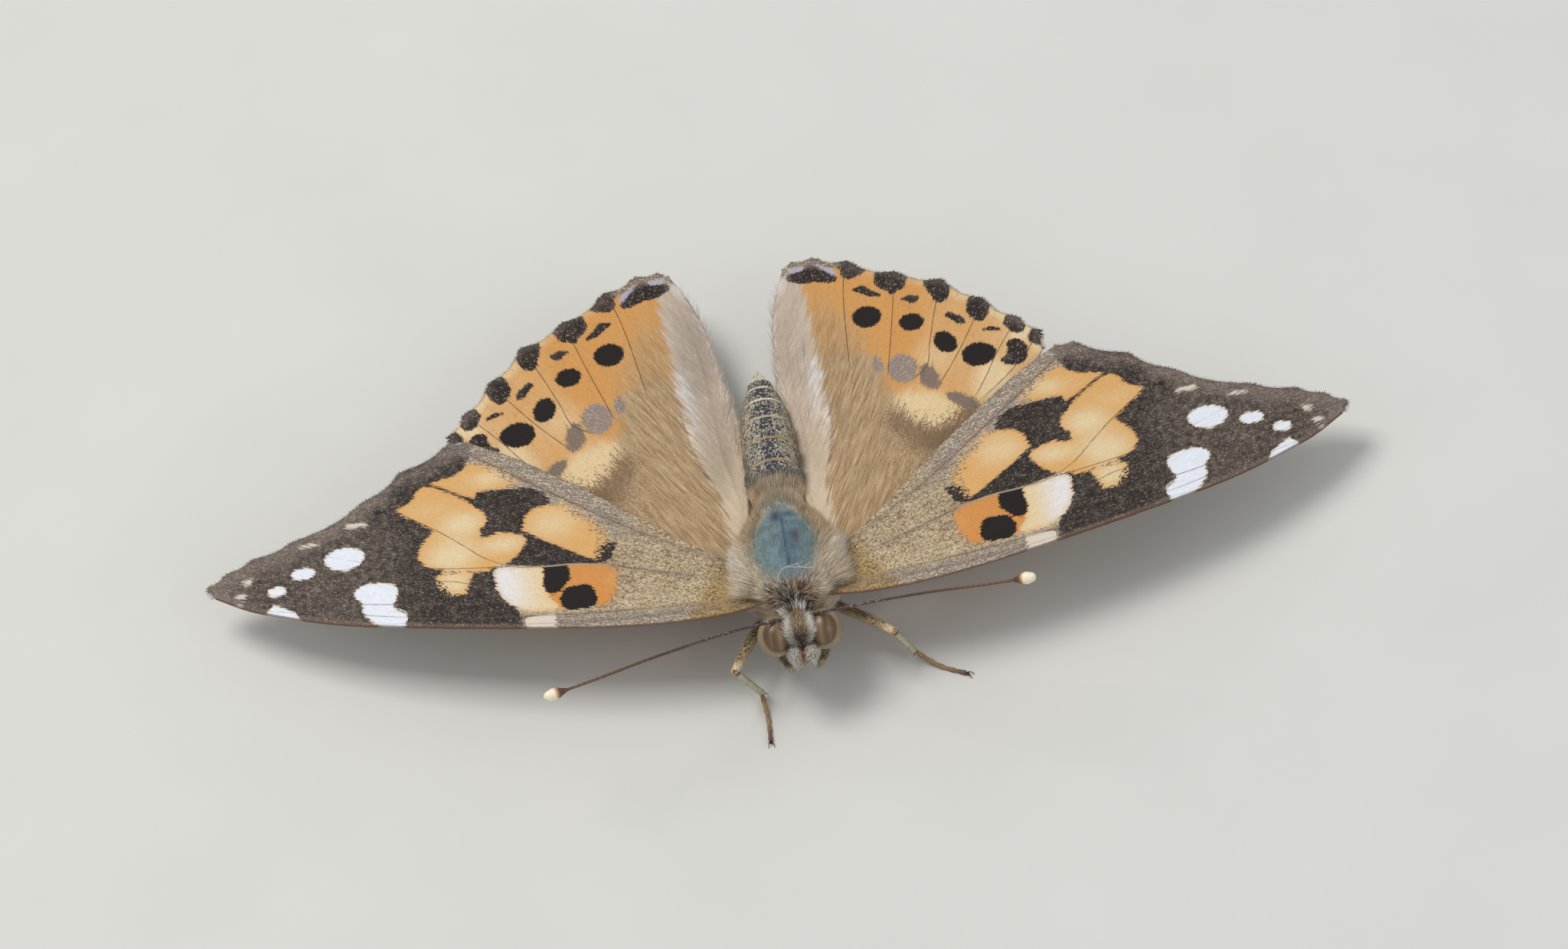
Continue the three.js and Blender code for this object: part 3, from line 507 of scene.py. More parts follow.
class Paint(Graph):
    """The node tree of one material, on a Principled shader."""

    def __init__(self, name, roughness=0.7, **constants):
        self.material = bpy.data.materials.new(name)
        self.material.use_nodes = True
        super().__init__(self.material.node_tree)
        self.surface = self.tree.nodes["Principled BSDF"]
        self.surface.inputs["Roughness"].default_value = roughness
        for key, value in constants.items():
            self.surface.inputs[key.replace("_", " ")].default_value = value

    def __getitem__(self, name):
        """The number stored on the mesh's points under a name."""
        return self.attribute(name, "Fac")

    def attribute(self, name, output):
        return self.wire(output, "ShaderNodeAttribute", {"attribute_name": name})

    def feed(self, socket, value):
        super().feed(socket, named_colour(value))

    def place(self):
        return self.wire("Object", "ShaderNodeTexCoord")

    def noise(self, vector, scale, detail=2.0, roughness=0.5):
        return self.wire("Fac", "ShaderNodeTexNoise", {},
                         {"Vector": vector, "Scale": scale, "Detail": detail, "Roughness": roughness})

    def cells(self, vector, fineness, randomness, dimensions="2D"):
        """Cells in three directions: three random values of each, and the distance to its middle."""
        made = self.node("ShaderNodeTexVoronoi", {"voronoi_dimensions": dimensions},
                         {"Vector": self.vector("MULTIPLY", vector, fineness), "Scale": 1.0,
                          "Randomness": randomness})
        parts = self.node("ShaderNodeSeparateColor", {}, {0: Wire(self, made.outputs["Color"])})
        return [Wire(self, socket) for socket in (*parts.outputs, made.outputs["Distance"])]

    def grains(self, fineness, randomness):
        """Cells in space, so many to a metre."""
        return self.cells(self.place(), (fineness, fineness, fineness), randomness, "3D")

    def mix(self, low, high, factor):
        """The colour low where the factor is 0 and high where it is 1."""
        return self.wire("Result_Color", "ShaderNodeMix", {"data_type": "RGBA"},
                         {"Factor_Float": factor, "A_Color": low, "B_Color": high})

    def layers(self, colour, *covers):
        """A colour with others laid over it, each with how much of it covers."""
        for cover, amount in covers:
            colour = self.mix(colour, cover, amount)
        return colour

    def finish(self, colour, height=None, strength=0.3, depth=0.02 * MM):
        self.feed(self.surface.inputs["Base Color"], colour)
        if height is not None:
            bump = self.wire("Normal", "ShaderNodeBump", {},
                             {"Strength": strength, "Distance": depth, "Height": height})
            self.feed(self.surface.inputs["Normal"], bump)
        return self.material


class Grower(Graph):
    """A geometry tree with named inputs."""

    def __init__(self, name):
        super().__init__(bpy.data.node_groups.new(name, "GeometryNodeTree"))
        for way in ("INPUT", "OUTPUT"):
            self.tree.interface.new_socket("Geometry", in_out=way, socket_type="NodeSocketGeometry")
        self.entry = self.tree.nodes.new("NodeGroupInput")
        self.exit = self.tree.nodes.new("NodeGroupOutput")

    def input(self, name, kind="NodeSocketFloat"):
        self.tree.interface.new_socket(name, in_out="INPUT", socket_type=kind)
        return Wire(self, self.entry.outputs[name])

    def named(self, name, kind="FLOAT"):
        return self.wire("Attribute", "GeometryNodeInputNamedAttribute", {"data_type": kind}, {"Name": name})

    def store(self, geometry, name, value, kind="FLOAT", domain="POINT"):
        return self.wire("Geometry", "GeometryNodeStoreNamedAttribute", {"data_type": kind, "domain": domain},
                         {"Geometry": geometry, "Name": name, "Value": value})

    def placed(self, geometry, **move):
        """Geometry whose points get a Position or an Offset."""
        return self.wire(0, "GeometryNodeSetPosition", {}, {"Geometry": geometry, **move})

    def random(self, low, high, seed):
        return self.wire("Value_001", "FunctionNodeRandomValue", {"data_type": "FLOAT"},
                         {"Min_001": low, "Max_001": high, "Seed": seed})

    def combined(self, x, y, z):
        return self.wire(0, "ShaderNodeCombineXYZ", {}, {"X": x, "Y": y, "Z": z})


# Curves, distances and meshes


def smooth_path(points, count, samples=16):
    """Even steps along a smooth curve through the given points."""
    given = np.asarray(points, float)
    if len(given) == 2:
        return given[0] + (given[1] - given[0]) * np.linspace(0, 1, count + 1)[:, None]
    padded = np.vstack([2 * given[0] - given[1], given, 2 * given[-1] - given[-2]])
    dense = []
    for k in range(len(given) - 1):
        p0, p1, p2, p3 = padded[k:k + 4]
        d1, d2, d3 = (max(np.linalg.norm(b - a), 1e-4) ** 0.5 for a, b in ((p0, p1), (p1, p2), (p2, p3)))
        m1 = ((p1 - p0) / d1 - (p2 - p0) / (d1 + d2) + (p2 - p1) / d2) * d2
        m2 = ((p2 - p1) / d2 - (p3 - p1) / (d2 + d3) + (p3 - p2) / d3) * d2
        t = np.linspace(0, 1, samples, endpoint=False)[:, None]
        dense.append((2 * t**3 - 3 * t**2 + 1) * p1 + (t**3 - 2 * t**2 + t) * m1
                     + (3 * t**2 - 2 * t**3) * p2 + (t**3 - t**2) * m2)
    dense = np.vstack(dense + [given[-1:]])
    lengths = np.concatenate([[0], np.cumsum(np.linalg.norm(np.diff(dense, axis=0), axis=1))])
    wanted = np.linspace(0, lengths[-1], count + 1)
    return columns(*(np.interp(wanted, lengths, values) for values in dense.T))


def trace_veins(plan):
    """Plan points of every vein at each step from the root to the margin."""
    steps = plan["steps"]
    lines = {}
    for name, vein in plan["veins"].items():
        parent, start = vein.get("from", (None, 0))
        child, end = vein.get("into", (None, steps))
        path = [tuple(p) for p in vein["points"]]
        if parent:
            path.insert(0, tuple(lines[parent][start]))
        if child:
            path.append(tuple(lines[child][end]))
        own = smooth_path(path, end - start)
        rows = [lines[parent][j] for j in range(start)] + list(own)
        rows += [lines[child][j] for j in range(end + 1, steps + 1)]
        lines[name] = np.array(rows)
    return lines


def wing_outline(plan, lines, spacing):
    """The closed outline of a wing plan, and for each point how far it lies between two vein ends."""
    order = plan["order"]
    parts = [smooth_path(lines[order[0]], int(32 / spacing))]
    between = [np.full(len(parts[0]), -1.0)]
    for first, second in zip(order, order[1:]):
        a, b = lines[first][-1], lines[second][-1]
        distance = np.linalg.norm(b - a)
        if distance < 1e-6:
            continue
        s = np.linspace(0, 1, max(3, round(distance / spacing)) + 1)[1:, None]
        inner = lines[first][-2] * (1 - s) + lines[second][-2] * s
        edge = a * (1 - s) + b * s
        inward = inner - edge
        inward /= np.linalg.norm(inward, axis=1)[:, None]
        parts.append(edge + inward * plan["notch"] * distance * np.sin(np.pi * s))
        between.append(s[:, 0])
    parts.append(smooth_path(lines[order[-1]], int(24 / spacing))[::-1][1:])
    between.append(np.full(len(parts[-1]), -2.0))
    return np.vstack(parts), np.concatenate(between)


def rounded(outline):
    """A closed outline with its corners cut."""
    points = np.asarray(outline, float)
    for cut in (0.2, 0.25):
        following = np.roll(points, -1, axis=0)
        near, far = (1 - cut) * points + cut * following, cut * points + (1 - cut) * following
        points = np.stack([near, far], axis=1).reshape(-1, 2)
    return points


def line_distance(points, path):
    """Distance from each point to a line through the path's points."""
    start = path[:-1]
    step = np.diff(path, axis=0)
    size = np.maximum((step**2).sum(1), 1e-12)
    nearest = np.full(len(points), 1e9)
    for a, d, s in zip(start, step, size):
        offset = points - a
        t = np.clip((offset @ d) / s, 0, 1)
        nearest = np.minimum(nearest, np.hypot(offset[:, 0] - t * d[0], offset[:, 1] - t * d[1]))
    return nearest


def inside_distance(points, outline):
    """Distance to a closed outline, positive inside and negative outside."""
    closed = np.vstack([outline, outline[:1]])
    inside = np.zeros(len(points), bool)
    for (x1, y1), (x2, y2) in zip(closed[:-1], closed[1:]):
        if y1 == y2:
            continue
        spans = (y1 > points[:, 1]) != (y2 > points[:, 1])
        crossing = x1 + (points[:, 1] - y1) * (x2 - x1) / (y2 - y1)
        inside ^= spans & (points[:, 0] < crossing)
    distance = line_distance(points, closed)
    return np.where(inside, distance, -distance)


def spot_distance(points, x, y, half_x, half_y, turn=0.0):
    """Distance to an oval spot, positive inside."""
    angle = math.radians(turn)
    dx, dy = points[:, 0] - x, points[:, 1] - y
    u = (dx * math.cos(angle) + dy * math.sin(angle)) / half_x
    v = (dy * math.cos(angle) - dx * math.sin(angle)) / half_y
    reach = np.hypot(u, v)
    slope = np.hypot(u / half_x, v / half_y) / np.maximum(reach, 1e-6)
    return (1 - reach) / np.maximum(slope, 1 / max(half_x, half_y))


def nearest_mark(points, marks):
    """The distance to the nearest of several marks, positive inside. Outlines are lists, spots tuples."""
    values = [inside_distance(points, rounded(mark)) if isinstance(mark, list)
              else spot_distance(points, *mark) for mark in marks.values()]
    return np.max(values, axis=0)


def ramp(values, low, high):
    """A smooth step from 0 at low to 1 at high."""
    t = np.clip((np.asarray(values, float) - low) / (high - low), 0, 1)
    return t * t * (3 - 2 * t)


def fade(values, low, high):
    """A smooth step from 1 at low to 0 at high."""
    return 1 - ramp(values, low, high)


def bump_at(points, centre, widths):
    """A soft round mask, 1 at its centre."""
    offset = (points - np.asarray(centre)) / np.asarray(widths)
    return np.exp(-(offset**2).sum(axis=1))


def bumps(points, table):
    """The sum of several soft masks, each given by its weight, centre and widths."""
    return sum(weight * bump_at(points, centre, widths) for weight, centre, widths in table)


def columns(*values):
    """Several rows of numbers, or single numbers, side by side as points."""
    return np.stack(np.broadcast_arrays(*values), axis=-1)


def unit(vectors):
    return vectors / np.maximum(np.linalg.norm(vectors, axis=-1, keepdims=True), 1e-9)


def to_frame(points):
    return np.asarray(points, float) * MM + SHIFT


def make_mesh(name, vertices, faces, values=None):
    """A mesh from body-frame millimetres, with named values on its points."""
    mesh = bpy.data.meshes.new(name)
    mesh.from_pydata(to_frame(vertices).tolist(), [], faces)
    mesh.update()
    mesh.shade_smooth()
    for key, data in (values or {}).items():
        put_values(mesh, key, data)
    return mesh


def put_values(mesh, key, data):
    if key in mesh.attributes:
        mesh.attributes.remove(mesh.attributes[key])
    data = np.asarray(data, np.float32)
    kinds = {1: ("FLOAT", "value"), 3: ("FLOAT_VECTOR", "vector"), 4: ("FLOAT_COLOR", "color")}
    width = 1 if data.ndim == 1 else data.shape[1]
    kind, field = kinds[width]
    attribute = mesh.attributes.new(key, kind, "POINT")
    attribute.data.foreach_set(field, data.ravel())


def put_map(mesh, places):
    """Stores the OFBake map from one place per point."""
    layer = mesh.uv_layers.new(name="OFBake")
    corners = np.empty(len(mesh.loops), np.int32)
    mesh.loops.foreach_get("vertex_index", corners)
    layer.data.foreach_set("uv", np.asarray(places, np.float32)[corners].ravel())


def add_object(name, data):
    item = bpy.data.objects.new(name, data)
    bpy.context.scene.collection.objects.link(item)
    return item


def show(name, mesh, materials, slot, *nodes):
    """Puts a finished mesh into the scene, on the butterfly's one body."""
    for material in materials:
        mesh.materials.append(material)
    piece = add_object(name, mesh)
    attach(piece, "root")
    if nodes:
        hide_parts(*nodes)


# Wings


def wing_height(x):
    t = (x - WING_ROOT_X) / WING_REACH
    return WING_LEVEL + WING_CROWN * np.sin(np.pi * t) - WING_TIP_DROP * t * t


def slide(x, y, z):
    return columns(x, y - PLAN_LEAN * (z - PLAN_LEVEL), z)


def forewing_surface(plan_points, _side):
    x, y = plan_points.T
    return slide(x, y, wing_height(x))


def hindwing_surface(plan_points, side):
    """Under the forewing, sagging to the rear and dropped to the abdomen inside its crease."""
    turn, size = HINDWING_POSE[side]
    x, y = plan_points.T
    dx, dy = x - HINGE[0], y - HINGE[1]
    px = HINGE[0] + size * (dx * math.cos(turn) - dy * math.sin(turn))
    py = HINGE[1] + size * (dx * math.sin(turn) + dy * math.cos(turn))
    inside = ramp(CREASE["x"] - x, 0, CREASE["width"])
    fold = CREASE["depth"] * inside * ramp(y, 3, 7) * fade(y, 15, 21)
    sag = 0.006 * np.maximum(0, y - 8) ** 2
    return slide(px, py, wing_height(px) - WING_SPACING - sag - fold)


def surface_frame(surface, points, side):
    """Middle points of a wing with their normals and the two plan directions in space."""
    h = 0.01
    middle = surface(points, side)
    along_x = unit(surface(points + (h, 0), side) - middle)
    along_y = unit(surface(points + (0, h), side) - middle)
    return middle, unit(np.cross(along_x, along_y)), along_x, along_y


def vein_paths(plan, lines, spacing):
    """The inner veins from where each leaves its parent, as evenly spaced points."""
    paths = {}
    for name in plan["order"][1:-1]:
        vein = plan["veins"][name]
        start = vein.get("from", (None, 0))[1]
        end = vein.get("into", (None, plan["steps"]))[1]
        own = lines[name][start:end + 1]
        length = np.linalg.norm(np.diff(own, axis=0), axis=1).sum()
        paths[name] = smooth_path(own, max(4, round(length / spacing)))
    return paths


def plan_mesh(outline, paths, spacing):
    """Triangles that fill an outline, with points on the veins and on a close grid between them."""
    low, high = outline.min(axis=0), outline.max(axis=0)
    rows = np.arange(low[1], high[1], spacing * math.sqrt(3) / 2)
    ticks = np.arange(low[0], high[0] + spacing, spacing)
    grid = np.vstack([columns(ticks + spacing / 2 * (k % 2), y) for k, y in enumerate(rows)])
    grid = grid[inside_distance(grid, outline) > 0.45 * spacing]
    nearest = np.min([line_distance(grid, path) for path in paths.values()], axis=0)
    grid = grid[nearest > 0.4 * spacing]
    points = [outline, grid]
    first = len(outline) + len(grid)
    edges = []
    for path in paths.values():
        points.append(path)
        edges += [(first + k, first + k + 1) for k in range(len(path) - 1)]
        first += len(path)
    border = list(range(len(outline)))
    result = delaunay_2d_cdt([Vector(p) for p in np.vstack(points)], edges, [border], 1, 1e-5)
    return np.array([tuple(v) for v in result[0]]), [tuple(f) for f in result[2]]


def spot_reach(points, spots):
    """How far each point lies from the nearest round spot, as a share of its radius."""
    return np.min([np.hypot(points[:, 0] - x, points[:, 1] - y) / r for x, y, r in spots.values()], axis=0)


def forewing_marks(points, margin, inner):
    """What the paint of a forewing reads at each point: soft masks and shares."""
    x, y = points.T
    soft = fade(x - 0.55 * np.maximum(0, y - 3.3), 9.8, 10.8)
    soft = np.maximum(soft, fade(x - 0.8 * (y - 8.4), 13.9, 15) * ramp(y, 7, 8))
    soft = np.maximum(soft, 0.8 * bump_at(points, (18.3, 2), (0.9, 0.8)))
    lunules = np.max([bump_at(points, *spot) for spot in FOREWING_LUNULES.values()], axis=0)
    # Where the black turns brown: a painted sheen towards the tip, and the margin's own grey-brown band,
    # which the lunules break
    worn = 0.05 + 0.28 * ramp(x, 19, 22.5) + 0.36 * fade(margin, 0.4, 1.5) + 0.08 * ramp(x, 28, 30.5)
    worn += 0.35 * fade(margin, 0.7, 1.6) * fade(x, 17, 20)
    worn = worn * (1 - 0.75 * lunules) * ramp(x, 13.5, 16.5) + 0.06
    return {
        "pale": np.clip(bumps(points, FOREWING_PALE), 0, 1),
        "soft": soft,
        "worn": np.clip(worn, 0, 1),
        "band": np.maximum(fade(inner, 1.5, 1.9) * ramp(x, 6.5, 10), ramp(x, 15, 16) * ramp(y, 9.6, 10.2)),
        "light": 0.1 * fade(y, -0.5, 0.6) + 0.06 * ramp(y - 0.7 * x, -1.5, 0) - 0.05,
        "golden": fade(x + 0.6 * y, 3.4, 4.6),
        "large": bump_at(points, (23.85, 5.1), (1.3, 1.0)),
        "strip": ramp(x, 12.2, 13.4) * fade(x, 14.2, 14.8) * fade(y, -1.2, -0.95),
    }


def hindwing_marks(points, margin, inner):
    """What the paint of a hindwing reads at each point: soft masks and shares."""
    x, y = points.T
    edge = np.interp(y, *np.array(HINDWING_FOLD)[:, ::-1].T)
    streak = fade(x, 5.2, 8.5) * fade(y, 13.5, 19) * 0.95
    streak += fade(x, 4.8, 6.5) * ramp(y, 14.5, 17) * 0.35
    pale = 0.2 * ramp(x - y * 0.45, 6.6, 9.2) + 0.3 * ramp(x - y * 0.3, 4.5, 6.5)
    pale += 0.4 * fade(margin, 0.15, 0.7) + bumps(points, HINDWING_PALE)
    return {
        "pale": np.clip(pale, 0, 1),
        "streak": streak,
        "umber": bumps(points, HINDWING_UMBER),
        # Painted highlight: white light on the pale hair of the fold and along the inner margin
        "gleam": (0.9 * np.exp(-((x - edge + 0.5) / 0.5) ** 2) * ramp(y, 7, 12) * fade(y, 12, 16)
                  + 0.6 * fade(inner, 0.1, 0.7) * ramp(y, 7, 10)),
        "fold": fade(x - edge, -0.3, 0.1),
        "inward": edge - x,
        # Painted shade: a thin dark line in the crease along the fold's edge
        "crease": np.abs(x - edge) + ramp(y, 11, 12.5) + fade(y, 4.5, 6),
        "tornus": fade(margin, 0.35, 0.75) * fade(x, 5.8, 6.8) * ramp(y, 19.7, 20.3),
        "eyelet": spot_reach(points, HINDWING_EYELETS),
        "reach": np.hypot(x - 2, y - 1),
    }


def scale_rows(points, origin, axis):
    """Places on a wing along and across the way its scales lie, fanned out from the wing's root."""
    x, y = (points - origin).T
    reach = np.hypot(x, y)
    return columns(reach, reach * (np.arctan2(y, x) - axis), 0)


WINGS = {
    "forewing": {
        "plan": FOREWING, "surface": forewing_surface, "marks": forewing_marks, "lift": FOREWING_LIFT,
        "fan": ((1.5, -2.6), math.radians(22)), "map": (1.4, -3.4, 31.5), "lower map": (0, 0.5),
        "stem": ("cubital1", 9.5, 15.5),
        "drawn": {"black": FOREWING_BLACK, "spots": FOREWING_SPOTS, "orange": FOREWING_ORANGE,
                  "deep": FOREWING_DEEP_ORANGE, "cream": FOREWING_CREAM,
                  "white": FOREWING_WHITE | FOREWING_WHITE_SPOTS, "faint": FOREWING_FAINT}},
    "hindwing": {
        "plan": HINDWING, "surface": hindwing_surface, "marks": hindwing_marks, "lift": HINDWING_LIFT,
        "fan": ((2.0, -3.0), math.radians(64)), "map": (1.2, -0.6, 32.6), "lower map": (0.5, 0),
        "drawn": {"black": HINDWING_BLACK, "spots": HINDWING_SPOTS, "dusk": HINDWING_DUSK,
                  "cream": HINDWING_CREAM, "fan": HINDWING_FAN, "lilac": HINDWING_LILAC}},
}


def wing_drawing(kind, spacing):
    """The flat mesh of a wing plan, with everything that both sides of the animal share."""
    wing = WINGS[kind]
    lines = trace_veins(wing["plan"])
    outline, between = wing_outline(wing["plan"], lines, spacing)
    paths = vein_paths(wing["plan"], lines, spacing)
    points, triangles = plan_mesh(outline, paths, spacing)
    margin = line_distance(points, outline[between >= 0])
    values = {name: nearest_mark(points, marks) for name, marks in wing["drawn"].items()}
    values.update(wing["marks"](points, margin, line_distance(points, outline[between == -2])))
    values["vein"] = np.min([line_distance(points, path) for path in paths.values()], axis=0)
    values["margin"] = margin
    values["costal"] = line_distance(points, outline[between == -1])
    if "stem" in wing:
        name, start, end = wing["stem"]
        beyond = np.maximum(0, start - points[:, 0]) + np.maximum(0, points[:, 0] - end)
        values["stem"] = line_distance(points, paths[name]) + beyond
    return {"points": points, "triangles": triangles, "outline": outline, "between": between,
            "values": values}


def border_loop(triangles):
    """The outer edges of a triangle mesh, in the order that its triangles wind."""
    edges = dict.fromkeys(edge for a, b, c in triangles for edge in ((a, b), (b, c), (c, a)))
    return [(a, b) for a, b in edges if (b, a) not in edges]


def map_places(wing, points):
    """Places of plan points on a wing's map."""
    left, low, width = wing["map"]
    return columns((points[:, 0] - left) / width, (points[:, 1] - low) / width)


def make_wing(kind, side, drawing, sizes, materials):
    """A thin closed sheet with raised veins, painted above and below."""
    wing = WINGS[kind]
    points = drawing["points"]
    count = len(points)
    thickness = sizes.wing_thickness / MM
    middle, normal, _, _ = surface_frame(wing["surface"], points, side)
    vein = drawing["values"]["vein"]
    ridge = VEIN_HEIGHT * np.exp(-((vein / VEIN_WIDTH) ** 2)) * (1 - 0.6 * ramp(points[:, 0], 5, 30))
    valley = 0.05 * ramp(vein, 0.2, 1.3) * ramp(drawing["values"]["margin"], 0, 2)
    top = middle + normal * (wing["lift"] + thickness / 2 + ridge - valley)[:, None]
    bottom = middle + normal * (wing["lift"] - thickness / 2 - 0.7 * ridge - valley)[:, None]
    triangles = drawing["triangles"]
    faces = [tuple(t) for t in triangles]
    faces += [(a + count, c + count, b + count) for a, b, c in triangles]
    faces += [(b, a, a + count, b + count) for a, b in border_loop(triangles)]
    if SIDES[side] < 0:
        faces = [tuple(reversed(f)) for f in faces]
    rows = scale_rows(points, *wing["fan"])
    values = {key: np.tile(data, 2) for key, data in drawing["values"].items()}
    values["grain"] = np.vstack([rows, rows + LOWER_GRAIN])
    values["plan"] = np.tile(columns(*points.T, 0), (2, 1))
    name = f"{kind}_{side}"
    mesh = make_mesh(name, np.vstack([top, bottom]) * (SIDES[side], 1, 1), faces, values)
    places = map_places(wing, points)
    put_map(mesh, np.vstack([places, places + wing["lower map"]]))
    below = np.zeros(len(faces), np.int32)
    below[len(triangles):2 * len(triangles)] = 1
    show(name, mesh, materials, "wing_scales", name)
    mesh.polygons.foreach_set("material_index", below)


class WingPaint(Paint):
    """A wing's paint, with its scales' random tones, ragged borders, streaks, patches and relief."""

    def __init__(self, name, roughness):
        super().__init__(name, roughness=roughness, Specular_IOR_Level=0.25)
        grain = self.attribute("grain", "Vector")
        self.plan = self.attribute("plan", "Vector")
        self.plan_x, self.plan_y, _ = self.parts(self.plan)
        self.tone, self.pick, self.third, self.bulge = self.cells(grain, (10, 16, 1), 0.85)
        self.fleck, self.dust, _, _ = self.cells(grain, (13, 22, 1), 1.0)
        tooth = self.cells(grain, (3.4, 20, 1), 1.0)[0]
        self.streak = self.noise(self.vector("MULTIPLY", grain, (0.5, 4.0, 1)), 1.0, 3.0) - 0.5
        self.fine = self.noise(self.vector("MULTIPLY", grain, (0.7, 9.0, 1)), 1.0, 3.0) - 0.5
        self.patch = self.noise(self.plan, 0.75, 3.0) - 0.5
        self.mottle = self.noise(self.plan, 2.6, 3.0) - 0.5
        self.ragged = (tooth - 0.5) * 0.2 + self.streak * 0.26

    def within(self, name, rag=1.0, soft=0.03):
        """1 inside a mark, with a border as ragged as its scales."""
        return (self[name] + self.ragged * rag).above(-soft, soft)

    def scaly(self, colour, level, tone, fine):
        """The finished paint: a colour that varies from scale to scale and along them."""
        colour = self.scaled(colour, level + self.tone * tone + self.fine * fine)
        return self.finish(colour, self.bulge, strength=0.35)


def paint_forewing():
    paint = WingPaint("forewing_upper", 0.75)
    soft, costal = paint["soft"], paint["costal"]
    band = paint["band"].largest(costal.below(0.75, 1.05))
    speck = paint.pick * 0.6 + paint.dust * 0.4 + paint.patch * 0.45 + paint.streak * 0.6
    speck = (speck + paint["light"]).above(0.08, 0.92)
    grey = (paint.dust * 0.8 + paint.fine * 1.2).above(0.25, 0.85)
    stems = (paint["vein"] - paint.streak * 0.2).below(0.05, 0.3) * 0.4
    base = paint.layers(
        "bark",
        ("ochre", speck),
        ("black", paint.fleck.above(0.84, 0.9) * 0.45),
        ("stone", (1 - paint.fleck).above(0.88, 0.93) * 0.6),
        (paint.mix("mauve", "stone", grey), band),
        (paint.mix("golden shadow", "golden scale", speck), paint["golden"] * 0.85),
        (paint.mix("brown", "mauve", paint.third), stems))

    # The black turns brown with the painted sheen towards the tip and in the grey-brown band along the margin
    worn = (paint["worn"] + paint.patch * 0.35 + paint.streak * 0.25 + paint.mottle * 1.1).above(-0.12, 1.15)
    edge = costal.below(0.15, 0.4)
    fleck = (paint.fleck + worn * 0.24 + edge * 0.1).above(0.82, 0.94) * (0.05 + paint.dust * 0.34)
    dark = paint.layers(
        paint.scaled("black", 0.9),
        (paint.scaled("brown", 0.92), worn),
        ("mauve", edge * 0.4),
        ("stone", fleck))

    pale = (paint["pale"] + paint.patch * 0.15).above(0.0, 0.8)
    rim = (paint["orange"] + paint.ragged).below(0.0, 0.25) * (1 - soft) * 0.3
    rich = paint.layers("orange", ("cream", pale), ("deep_orange", rim))
    inside = (paint["orange"] + paint.ragged * 0.9 + (paint.pick - 0.5) * soft * 0.9).above(-0.04, 0.04)
    deep = paint.mix("deep_orange", "orange", paint["pale"] * 0.8 + paint.patch * 0.3)
    near = paint["deep"] + paint.ragged * 0.9 + (paint.pick - 0.5) * soft * 0.5
    cream = paint.layers(
        "cream",
        ("white", paint.plan_x.above(13.3, 15.4) * 0.7),
        ("orange", (paint["cream"] + paint.ragged).below(0.0, 0.35) * 0.5))
    strip = (paint["strip"] + paint.streak).above(0.45, 0.6) * 0.85
    white = paint.within("white", 0.8)
    faint = (paint["faint"] + paint.ragged * 1.4).above(-0.05, 0.15) * 0.85
    rim = (paint["white"] + paint.ragged).below(0.0, 0.16) * 0.6

    pitch = paint.within("black") * (1 - inside) * (1 - paint.within("cream")) * (1 - white)
    vein = (paint["vein"] + paint.mottle * 0.04).below(0.008, 0.038) * (0.85 - pitch * 0.65)
    vein = vein * (1 - paint["large"] * 0.85) * paint.plan_x.above(5, 9)
    vein = vein * (1 - costal.below(0.5, 1.1) * 0.6)
    colour = paint.layers(
        base,
        (dark, paint.within("black")),
        (rich, inside),
        (deep, near.above(-0.04, 0.04)),
        (cream, paint.within("cream", 0.9)),
        (paint.mix("cream", "white", 0.4), strip),
        (paint.scaled("black", 0.55), paint.within("spots", 0.9)),
        (paint.mix("white", "cream", rim), white.largest(faint)),
        (paint.mix("vein", "brown", pitch), vein),
        (paint.mix("mauve", "stone", 0.45), paint["stem"].below(0.03, 0.08) * 0.85),
        ("rib", costal.below(0.05, 0.12) * 0.7))
    return paint.scaly(colour, 0.9, 0.12, 0.14)


